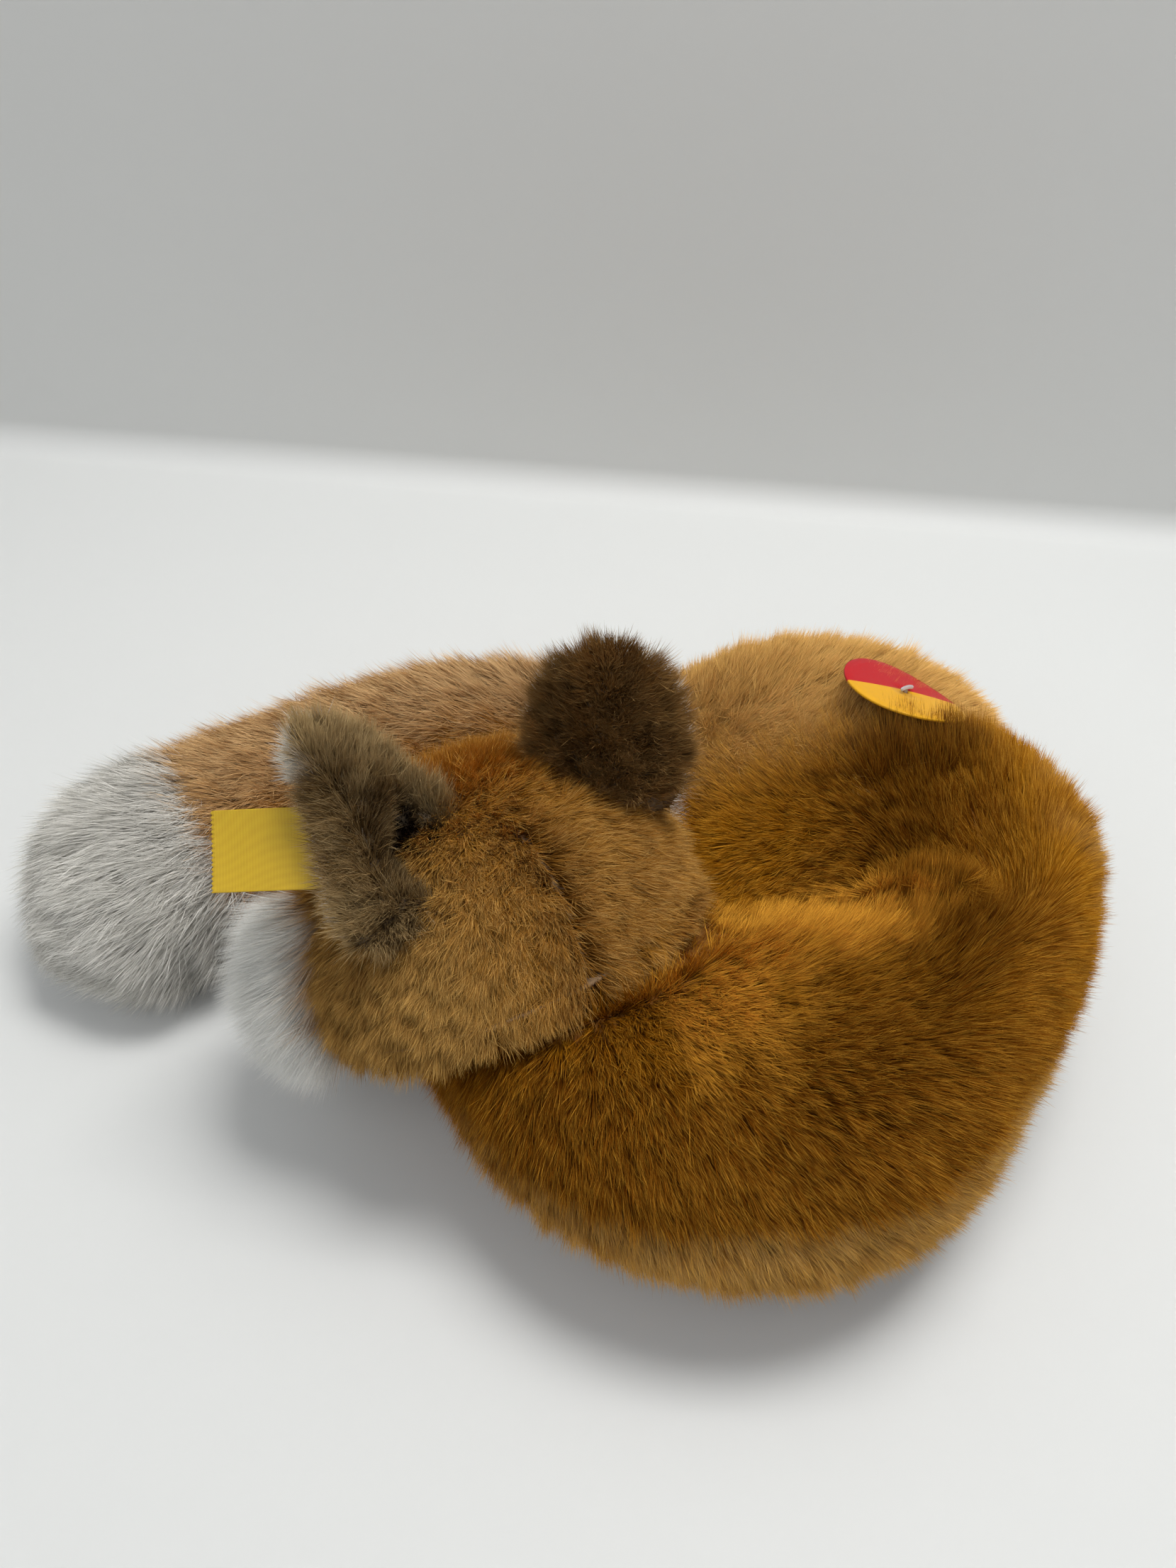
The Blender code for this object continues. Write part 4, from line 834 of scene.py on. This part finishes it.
def makeNose():
    # a squared egg: signed powers of sine and cosine
    hit = headSurface.points[:, -1].mean(0) + headUp * 0.001 - noseAxis * 0.0012
    a = np.arange(72)[:, None] / 72 * math.tau
    b = (np.linspace(0, 1, 40)[None] - 0.5) * math.pi
    squared = lambda x: np.sign(x) * np.abs(x) ** nose["square"]
    x = squared(np.cos(a)) * squared(np.cos(b)) * (1 + nose["flare"] * np.sin(b))
    y = squared(np.sin(a)) * squared(np.cos(b))
    z = np.broadcast_to(squared(np.sin(b)), x.shape) - nose["droop"] * y
    size = np.array(nose["size"]) / 2
    points = (hit + headSide * (x * size[0])[..., None] + noseAxis * (y * size[1])[..., None]
              + headUp * (z * size[2])[..., None])
    paint = Paint("noseCloth")
    grain = paint.node("ShaderNodeTexVoronoi", {}, {"Vector": paint.place(), "Scale": 1400.0})
    paint.set(Base_Color=nose["colour"], Roughness=grain * 0.1 + 0.42, Normal=paint.bump(0.35, 0.0003, grain))
    mesh = gridMesh("noseButton", points, True, (True, True))
    piece = finishMesh("noseButton", mesh, paint.material, 0.00001)
    dress(piece, "head", ["nose"])


def makeEyes():
    # a thread along a sagging line, laid on the head by the reach of its nearest points
    thread = Paint("eyeThread")
    strands = thread.noise(2600.0, 2.0)
    thread.set(Base_Color=thread.mix(strands, np.array(eye["colour"]) * 0.5, eye["colour"]), Roughness=0.6,
               Normal=thread.bump(0.5, 0.0002, strands))
    flat = headSurface.points.reshape(-1, 3)
    rays = unit(flat - headCentre)
    along, sideways, rise = eye["place"]
    way = np.linspace(-1.0, 1.0, 9)
    sag = eye["sag"] * eye["span"] * (1 - way ** 2)
    for name, node, side in (("leftEye", "eyelid_left", -1.0), ("rightEye", "eyelid_right", 1.0)):
        aim = (headPoint(along, side * sideways, rise) + headSide * (side * way * eye["span"] / 2)[:, None]
               - headUp * sag[:, None])
        aims = unit(aim - headCentre)
        near = np.argsort(-(aims @ rays.T), axis=1)[:, :6]
        reach = sizes(flat[near] - headCentre).mean(1)
        knots = headCentre + aims * (reach + eye["over"])[:, None]
        path = drawnOut(knots, np.linspace(0, 8, 40))
        piece = finishMesh(name, tubeMesh(name, path, eye["thread"] / 2), thread.material)
        dress(piece, "head", [node])


makeNose()
makeEyes()
print("face done")

# ears: a leaf with curled rims, furred behind and lined with short pale pile

ear = {"width": 0.041, "height": 0.038, "hollow": 0.009, "sink": 0.2, "back": 0.0035, "thick": 0.0046,
       "outline": (0.92, 1.0, 1.0, 0.93, 0.8, 0.6, 0.36), "backing": (0.3, 0.22, 0.14)}
# near narrows the rim on the head's outer side from root to tip, open flattens the other rim, hook bends
# the tip sideways and notch folds the root
earPose = {"left": {"side": -1.0, "turn": 44.0, "lean": 14.0, "nod": 36.0, "hook": 0.34, "notch": 0.011,
                    "grow": 1.06, "near": (0.3, 0.65, 1.0, 0.74, 0.3, 0.2, 0.35), "open": 0.6, "broad": 1.14},
           "right": {"side": 1.0, "turn": 43.0, "lean": 4.0, "nod": 9.0, "hook": 0.0, "notch": 0.0,
                     "grow": 1.0, "near": (1.0,) * 7, "open": 0.0, "broad": 1.0}}
earFur = {"hairs": 60000, "length": 0.0074, "width": 0.00024, "lean": (30, 58), "lock": 0.005, "curl": 0.45,
          "wisp": 0.5, "mess": 0.28, "gather": 0.0007, "seed": 71}
# each ear's third colour is near black: painted shade in the fold at its root
earCoat = {"left": {"main": (0.3, 0.175, 0.06), "streak": (0.14, 0.072, 0.02), "first": (0.9, 0.88, 0.82),
                    "second": (0.5, 0.35, 0.16), "third": (0.012, 0.005, 0.002), "tip": (0.7, 0.53, 0.28),
                    "root": 0.4, "tipTint": 0.62, "white": "first", "deep": True},
           "right": {"main": (0.29, 0.135, 0.03), "streak": (0.12, 0.05, 0.009), "first": (0.75, 0.72, 0.64),
                     "second": (0.46, 0.27, 0.09), "third": (0.03, 0.015, 0.006), "tip": (0.66, 0.45, 0.2),
                     "root": 0.4, "tipTint": 0.6, "white": "first"}}


def earAxes(pose):
    # the way across, the way its hollow faces and the way to its tip
    side = turned(headSide, up, -pose["side"] * math.radians(pose["turn"]))
    tip = turned(up, side, -math.radians(pose["nod"]))
    lean = pose["side"] * math.radians(pose["lean"])
    across, tip = turned(side, headForward, lean), turned(tip, headForward, lean)
    return across, np.cross(tip, across), tip


def earForm(pose, base, across, front, tip):
    # two leaves back to back: half width from the outline, rims curled forward by the square of the
    # way across, and a thickness that runs out at the rims and the tip
    rows = np.linspace(0.0, 1.0, 60)
    share = np.clip(drawnOut(ear["outline"], rows * 6), 0.0, 1.0)
    share = share * np.sqrt(np.clip(1.0 - np.clip((rows - 0.72) / 0.28, 0, 1) ** 2 * 0.85, 0.0, 1.0))
    lap = np.arange(96) / 96 * math.tau
    way = np.sin(lap)[:, None] * 0.9
    face = np.cos(lap)[:, None]
    near = 1.0 - (1.0 - drawnOut(pose["near"], rows * 6))[None] * step(0.3, -0.3, way)
    x = way * near * share[None] * pose["broad"] * ear["width"] / 2
    x = x + pose["hook"] * ear["width"] * (rows ** 2 - 0.3)[None]
    z = (rows[None] - ear["sink"]) * ear["height"] / (1 - ear["sink"]) * 0.93 * pose["grow"] + 0 * way
    dent = pose["notch"] * np.exp(-((rows[None] - 0.24) / 0.2) ** 2 - ((way - 0.12) / 0.3) ** 2)
    curl = ear["hollow"] * way ** 2 * share[None] * (1 - pose["open"] * step(-0.1, 0.4, way))
    y = (curl + ear["back"] / 2 + dent
         - face * ear["thick"] / 2 * np.sqrt(np.clip(1 - rows[None] ** 6, 0, 1)))
    return Form(base + across * x[..., None] + front * y[..., None] + tip * z[..., None])


def makeEar(name):
    body, pose = "ear_" + name, earPose[name]
    base = np.array(joints[body + "_flex"]["pos_m"])
    across, front, tip = earAxes(pose)
    form = earForm(pose, base, across, front, tip)
    mesh = gridMesh(name + "EarSkin", form.points, True, (True, True))
    piece = finishMesh(name + "EarSkin", mesh, backingMaterial(name + "EarBacking", ear["backing"]), 0.00001)
    dress(piece, body, [body + "_back", body + "_front"])
    seed = earFur["seed"] + 1 + int(pose["side"])
    roots = plant(form, earFur["hairs"], seed, lambda place, normal, v: np.where(v > 0.12, 1.0, 0.2))
    place = roots["place"]
    wayAcross = (place - base) @ across / (ear["width"] / 2)
    height = (place - base) @ tip / ear["height"]
    facing = roots["normal"] @ front
    flow = tip * 1.0 + across * (wayAcross * 0.7)[:, None] * step(0.1, 0.6, height)[:, None]
    # first: the pale lining, which shows at the back as a thin edge round the tip
    inside = step(-0.05, 0.25, facing)
    lining = np.maximum(inside * step(0.1, 0.35, height), step(-0.6, -0.2, facing) * step(0.72, 0.86, height))
    # second: the lighter rim; third: painted shade in the fold at the root
    rim = step(0.35, 0.95, np.abs(wayAcross) + 0.4 * step(0.5, 1.0, height)) * 0.6
    rim = rim + step(0.0, 0.7, wayAcross) * 0.6 + 0.4 * waves(place, 0.008, 82) + step(0.3, 0.1, height) * 0.4
    fold = (pose["notch"] > 0) * step(0.36, 0.2, height) * step(0.6, 0.25, np.abs(wayAcross - 0.1))
    roots["trim"] = (1.0 - 0.3 * inside - 0.2 * step(0.75, 1.0, height)) * (1 - 0.5 * fold)
    zones = {"patch": (0.5 + 0.9 * waves(place, 0.01, 81)) * (1 - lining), "first": lining,
             "second": np.clip(rim, 0, 1) * (1 - lining), "third": fold}
    growFur(name + "EarFur", roots, flow, earFur, zones, furMaterial(name + "EarFur", earCoat[name]), body)


makeEar("left")
makeEar("right")
print("ears done")

# tail: rings along a path on the ground, each a section that is flat underneath

tail = {"length": 0.175, "width": 0.052, "height": 0.051, "tipWidth": 0.065, "end": (-0.845, -0.425, 0.36),
        "white": (0.595, 0.615)}
tailRings = np.array([(0.0, 0.0, 0.92, 0.97), (-0.12, 0.0, 1.0, 1.02), (-0.25, -0.02, 1.02, 1.04),
                      (-0.38, -0.08, 1.04, 1.04), (-0.5, -0.16, 1.1, 1.04), (-0.6, -0.23, 1.24, 1.04),
                      (-0.69, -0.29, 1.0, 1.02), (-0.75, -0.33, 0.98, 0.94), (-0.8, -0.38, 0.76, 0.78)])
lyingSection = np.array([(1.0, 0.46), (0.9, 0.78), (0.56, 0.98), (0.0, 1.05), (-0.56, 0.98), (-0.9, 0.78),
                         (-1.0, 0.46), (-0.86, 0.12), (-0.52, 0.0), (0.0, 0.0), (0.52, 0.0), (0.86, 0.12)])
tailFur = {"hairs": 150000, "length": 0.0135, "width": 0.0003, "lean": (34, 60), "lock": 0.009, "curl": 0.36,
           "wisp": 0.35, "mess": 0.2, "inset": 0.0062, "seed": 91, "bent": True, "gather": 0.0009}
tailCoat = {"main": (0.46, 0.19, 0.024), "streak": (0.3, 0.11, 0.01), "first": (0.71, 0.69, 0.64),
            "second": (0.78, 0.52, 0.25), "tip": (0.94, 0.69, 0.38), "tipTint": 0.55, "white": "first",
            "backing": (0.27, 0.14, 0.045)}


def lyingForm(places, halfWidths, heights, end, columns, rows):
    # rings square to the path in plan, from a section scaled by half width and height
    nexts = np.concatenate([places[1:], end[None]])
    before = np.concatenate([places[:1], places[:-1]])
    heading = nexts - before
    heading[:, 2] = 0.0
    across = unit(np.stack([heading[:, 1], -heading[:, 0], 0 * heading[:, 0]], -1))
    rings = (places[None] + across[None] * (lyingSection[:, 0][:, None, None] * halfWidths[None, :, None])
             + up * (lyingSection[:, 1][:, None, None] * heights[None, :, None]))
    ends = [np.broadcast_to(point, (12, 1, 3)) for point in (rings[:, 0].mean(0), end)]
    return softForm(np.concatenate([ends[0], rings, ends[1]], 1), columns, rows)


def makeTail():
    places = tailRoot + np.concatenate([tailRings[:, :2], np.zeros((9, 1))], 1) * tail["length"]
    x, y, rise = tail["end"]
    end = tailRoot + np.array((x, y, 0.0)) * tail["length"] + up * rise * tail["height"]
    width = np.where(np.arange(9) < 6, tail["width"], tail["tipWidth"])
    form = lyingForm(places, tailRings[:, 2] * width / 2, tailRings[:, 3] * tail["height"], end, 150, 190)
    form.points[..., 0] = np.minimum(form.points[..., 0], tailRoot[0] - 0.0004)
    skin = makeSkin("tailSkin", form, tailFur["inset"], tailCoat["backing"], "tail",
                    ["tail_cover", "tail_tip_cover", "tail_stuffing"])
    skin.normals = form.normals
    atRoot = form.points[:, :-1, 0] > tailRoot[0] - 0.002

    def weight(place, normal, v):
        return np.where(atRoot, 0.0, 1.0) * np.where(normal[..., 2] < -0.7, 0.25, 1.0)

    roots = plant(skin, tailFur["hairs"], 92, weight)
    place, v = roots["place"], roots["v"]
    flow = roots["along"] + up * 0.1
    # first: the white tip behind a ragged edge; second: painted light, paler on the faces turned up and back
    # towards the key light
    ragged = 0.012 * waves(place, 0.02, 95) + 0.012 * roots["random"].normal(size=len(v))
    white = step(*tail["white"], v + ragged)
    # painted light: paler where the surface faces up and back, towards the key light
    litTop = roots["normal"] @ np.array((0.0, 0.6, 0.8)) + 0.15 * waves(place, 0.012, 97)
    roots["trim"] = ((1.0 + 0.18 * white) * np.where(place[:, 2] < 0.006, 0.55, 1.0)
                     * (1.0 - 0.3 * step(0.1, 0.0, v)))
    zones = {"patch": (0.45 + 0.6 * waves(place * (1.8, 1.0, 1.0), 0.014, 96)) * (1 - white), "first": white,
             "second": step(0.2, 0.95, litTop) * 0.8 * (1 - white)}
    growParts(("tailFur", "tailSideFur", "tailUnderFur"), (0.25, 0.25, 0.5), roots, flow, tailFur, zones,
              furMaterial("tailFur", tailCoat), "tail")


makeTail()
print("tail done")

# paws, half hidden under chin, tail and haunch

paw = {"length": 0.04, "width": 0.021, "height": 0.016, "toe": 0.42,
       "rings": np.array([(0.0, 0.86, 0.9), (0.35, 0.9, 0.94), (0.68, 1.04, 1.04), (0.9, 0.84, 0.86)])}
pawPlaces = {"forepaw_left": ((-0.86, -0.02), 133.0), "forepaw_right": ((-0.66, 0.1), 135.0),
             "hindpaw_inner": ((-0.28, 0.4), 168.0), "hindpaw_outer": ((0.12, 0.8), 160.0)}
pawFur = {"hairs": 12000, "length": 0.0042, "width": 0.00025, "lean": (44, 68), "lock": 0.004, "curl": 0.4,
          "inset": 0.0016, "seed": 111}
pawCoat = {"main": (0.075, 0.038, 0.014), "streak": (0.12, 0.062, 0.022), "tip": (0.24, 0.14, 0.06),
           "tipTint": 0.4, "backing": (0.05, 0.03, 0.015)}


def makePaw(node, rootShare, heading):
    angle = math.radians(heading)
    forward = np.array((math.cos(angle), math.sin(angle), 0.0))
    root = bodyPlace(*rootShare) + shift
    end = root + forward * paw["length"] + up * paw["toe"] * paw["height"]
    way, widths, heights = paw["rings"].T
    form = lyingForm(root + forward * (way[:, None] * paw["length"]), widths * paw["width"] / 2,
                     heights * paw["height"], end, 72, 60)
    name = node.replace("_", " ").title().replace(" ", "")
    skin = makeSkin(name + "Skin", form, pawFur["inset"], pawCoat["backing"], "torso",
                    [node + "_cover", node + "_stuffing"])
    skin.normals = form.normals
    roots = plant(skin, pawFur["hairs"], 112,
                  lambda place, normal, v: np.where(normal[..., 2] < -0.7, 0.2, 1.0))
    zones = {"patch": 0.5 + 0.5 * waves(roots["place"], 0.01, 113)}
    growFur(name + "Fur", roots, roots["along"], pawFur, zones, furMaterial(name + "Fur", pawCoat), "torso")


for pawNode, (rootShare, heading) in pawPlaces.items():
    makePaw(pawNode, rootShare, heading)
print("paws done")

# ear label: a strip of woven tape with a cut, slightly frayed end

label = {"length": 0.03, "width": 0.0175, "thick": 0.0004, "heading": 182.0, "drop": 1.0, "tilt": 38.0,
         "wave": 0.0011, "cup": 0.0006, "fray": 0.00022, "colour": (0.6, 0.365, 0.004),
         "thread": (0.66, 0.43, 0.008), "warp": 620.0, "weft": 480.0}


def labelPaint(start, drop, heading):
    # warp and weft as two waves turned with the strip, and soft soiling
    paint = Paint("tapeWeave")
    turns = (math.radians(label["tilt"]), drop, heading)
    place = paint.node("ShaderNodeMapping", {"vector_type": "TEXTURE"},
                       {"Vector": paint.place(), "Location": tuple(start), "Rotation": turns})
    warp, weft = (paint.node("ShaderNodeTexWave", {"bands_direction": way},
                             {"Vector": place, "Scale": scale, "Distortion": bend})
                  for way, scale, bend in (("Y", label["warp"], 0.4), ("X", label["weft"], 0.3)))
    weave = warp * 0.5 + weft * 0.5
    colour = paint.mix(weave, label["colour"], label["thread"])
    soil = paint.noise(160.0, 4.0) * 0.22 + 0.86
    return paint.set(Base_Color=paint.dimmed(colour, soil), Roughness=0.55, Sheen_Weight=0.1,
                     Normal=paint.bump(0.35, 0.0001, weave))


def makeLabel():
    # the sheet bends in one long wave along its length and a faint cup across; teeth end the last row
    start = np.array(joints["label_flap"]["pos_m"])
    heading, drop = math.radians(label["heading"]), math.radians(label["drop"])
    flat = np.array((math.cos(heading), math.sin(heading), 0.0))
    along = flat * math.cos(drop) - up * math.sin(drop)
    across = turned(np.cross(up, flat), along, -math.radians(label["tilt"]))
    out = np.cross(along, across)
    s, t = np.linspace(0, 1, 90)[:, None], np.linspace(-1, 1, 71)[None]
    teeth = label["fray"] * np.abs((np.arange(71) % 4) - 2)[None] * (s > 0.985)
    run = s * label["length"] - teeth
    lift = label["wave"] * np.sin(s * 4.6 + 0.5 * t) * s + label["cup"] * t ** 2 * (1 - 0.6 * s)
    middle = start + along * run[..., None] + across * (t * label["width"] / 2 + 0 * s)[..., None]
    middle = middle + out * lift[..., None]
    over, under = middle + out * label["thick"] / 2, middle - out * label["thick"] / 2
    mesh = gridMesh("earLabel", np.concatenate([over, under[:, ::-1]], 1).transpose(1, 0, 2))
    bm = bmesh.new()
    bm.from_mesh(mesh)
    bmesh.ops.holes_fill(bm, edges=[edge for edge in bm.edges if edge.is_boundary], sides=0)
    bmesh.ops.triangulate(bm, faces=[face for face in bm.faces if len(face.verts) > 4])
    bm.to_mesh(mesh)
    bm.free()
    piece = finishMesh("earLabel", mesh, labelPaint(start, drop, heading))
    dress(piece, "ear_label", ["ear_label"])


makeLabel()
print("label done")

# hang tag: a card with a coloured field on each half, and its clear fastener

tag = {"diameter": 0.034, "thick": 0.0007, "hole": 0.0022, "edge": 0.00012, "slack": 0.0095, "dish": 0.0009,
       "redWay": (-0.2114, 0.9443, -0.2528), "red": (0.52, 0.006, 0.012), "yellow": (0.8, 0.4, 0.012)}
fastener = {"stem": 0.0004, "bar": 0.00055, "barLength": 0.0068, "bow": 0.0004, "over": 0.0009,
            "foot": 0.0002, "colour": (0.86, 0.87, 0.88)}


def cardPaint(middle):
    # red on one side of a line through the middle and yellow on the other
    paint = Paint("printedCard")
    offset = paint.node("ShaderNodeVectorMath", {"operation": "SUBTRACT"},
                        {0: paint.place(), 1: tuple(middle)})
    level = paint.node("ShaderNodeVectorMath", {"operation": "DOT_PRODUCT"},
                       {0: offset, 1: tag["redWay"]}, "Value")
    fibre = paint.noise(700.0, 4.0)
    colour = paint.mix(level > 0.001, tag["yellow"], tag["red"])
    return paint.set(Base_Color=paint.dimmed(colour, fibre * 0.12 + 0.93), Roughness=fibre * 0.1 + 0.42,
                     Specular_IOR_Level=0.25, Normal=paint.bump(0.08, 0.0001, fibre))


def makeTag():
    # a ring profile of hole, top, rounded edge and bottom, turned round the middle; a faint dish bends it
    middle = tagRoot + tagOut * tag["slack"]
    across = unit(np.cross(tagOut, up))
    beside = np.cross(tagOut, across)
    r, h, e, hole = tag["diameter"] / 2, tag["thick"] / 2, tag["edge"], tag["hole"] / 2
    profile = np.array([(hole, -h), (hole, h), (r * 0.3, h), (r * 0.6, h), (r * 0.85, h), (r - e, h),
                        (r, h - e), (r, -h + e), (r - e, -h), (r * 0.85, -h), (r * 0.6, -h), (r * 0.3, -h),
                        (hole, -h)])
    angle = np.arange(160)[:, None] / 160 * math.tau
    radius, height = profile[None, :, 0], profile[None, :, 1]
    dish = tag["dish"] * (radius / r) ** 2 * np.cos(2 * angle + 0.6)
    points = (middle + across * (np.cos(angle) * radius)[..., None]
              + beside * (np.sin(angle) * radius)[..., None]
              + tagOut * (height + dish)[..., None])
    card = finishMesh("tagCard", gridMesh("tagCard", points), cardPaint(middle), 0.000001)
    dress(card, "tag", ["tag_disc"])
    # the fastener: a stem through the hole, bowed a little, and a bar across it
    nylon = Paint("clearNylon")
    nylon.set(Base_Color=fastener["colour"], Roughness=0.18, Transmission_Weight=0.6, IOR=1.5)
    foot, bow = fastener["foot"], fastener["bow"]
    top = tag["slack"] + tag["thick"] / 2 + fastener["over"]
    way = np.linspace(0.0, 1.0, 30)[:, None]
    stem = tagRoot + tagOut * (foot + way * (top - foot)) + across * (bow * np.sin(way * math.pi))
    bar = tagRoot + tagOut * top + beside * ((way - 0.5) * fastener["barLength"])
    bar = bar + tagOut * (bow * (1 - 4 * (way - 0.5) ** 2))
    for name, path, radius in (("fastenerStem", stem, fastener["stem"]),
                               ("fastenerBar", bar, fastener["bar"])):
        dress(finishMesh(name, tubeMesh(name, path, radius), nylon.material), "torso", ["tag_fastener"])


makeTag()
print("tag done")

# table, wall, lights and camera

# the wall's colour is darker than the floor's: painted shade on the upright wall
stage = {"floor": (0.8, 0.81, 0.8), "wall": (0.72, 0.725, 0.71), "wallTurn": -8.1,
         "wallPlace": (0.01, 0.247, 0.0), "bend": 0.012, "front": -1.5, "top": 1.4, "half": 1.8}
lights = {"keyLight": {"place": (0.22, 0.2, 0.95), "aim": (0.0, 0.0, 0.03), "size": 0.5, "power": 9.6,
                       "colour": (1.0, 0.99, 0.97)},
          "fillLight": {"place": (-0.4, -0.6, 0.9), "aim": (0.0, 0.0, 0.04), "size": 0.9, "power": 1.8,
                        "colour": (0.97, 0.98, 1.0)}}
room = {"colour": (0.96, 0.98, 1.0, 1.0), "strength": 0.34}
camera = {"place": (-0.0465, -0.187, 0.29), "tilt": 43.0, "sensor": 36.0, "lens": 27.05}


def makeStage():
    # a floor that runs up into a wall in one quarter turn
    way = np.linspace(0.0, 1.0, 12) * math.pi / 2
    bend, angle = stage["bend"], math.radians(stage["wallTurn"])
    reach = np.concatenate([np.linspace(stage["front"], -0.02, 12), bend * np.sin(way), [bend]])
    rise = np.concatenate([np.zeros(12), bend * (1 - np.cos(way)), [stage["top"]]])
    side = np.linspace(-stage["half"], stage["half"], 9)
    along = np.array((math.cos(angle), math.sin(angle), 0.0))
    back = np.array((-math.sin(angle), math.cos(angle), 0.0))
    points = (np.array(stage["wallPlace"]) + along * side[:, None, None] + back * reach[None, :, None]
              + up * rise[None, :, None])
    mesh = gridMesh("table", points, False)
    paint = Paint("tableTop")
    height = paint.split("ShaderNodeSeparateXYZ", paint.place())[2]
    # painted shade: above the floor the colour turns to the darker wall colour, as the upright wall takes less
    # of the light from above
    paint.set(Base_Color=paint.mix((height * 90.0).clip(), stage["floor"], stage["wall"]), Roughness=0.6)
    mesh.materials.append(paint.material)
    mesh.shade_smooth()
    addObject("table", mesh)


def addLight(name, light):
    lamp = bpy.data.lights.new(name, "AREA")
    lamp.shape, lamp.size, lamp.energy, lamp.color = "DISK", light["size"], light["power"], light["colour"]
    item = addObject(name, lamp)
    item.location = light["place"]
    item.rotation_euler = (Vector(light["aim"]) - Vector(light["place"])).to_track_quat("-Z", "Y").to_euler()


def addCamera():
    lens = bpy.data.cameras.new("camera")
    lens.sensor_fit, lens.sensor_height, lens.lens = "VERTICAL", camera["sensor"], camera["lens"]
    item = addObject("camera", lens)
    item.location = tuple(np.array(camera["place"]) + shift * (1.0, 1.0, 0.0))
    item.rotation_euler = (math.radians(camera["tilt"]), 0.0, 0.0)
    bpy.context.scene.camera = item


def addRoom():
    world = bpy.data.worlds.new("room")
    bpy.context.scene.world = world
    world.use_nodes = True
    background = world.node_tree.nodes["Background"]
    background.inputs["Color"].default_value = room["colour"]
    background.inputs["Strength"].default_value = room["strength"]


makeStage()
for name, light in lights.items():
    addLight(name, light)
addCamera()
addRoom()
bpy.context.scene.view_settings.view_transform = "Standard"
print("stage done")
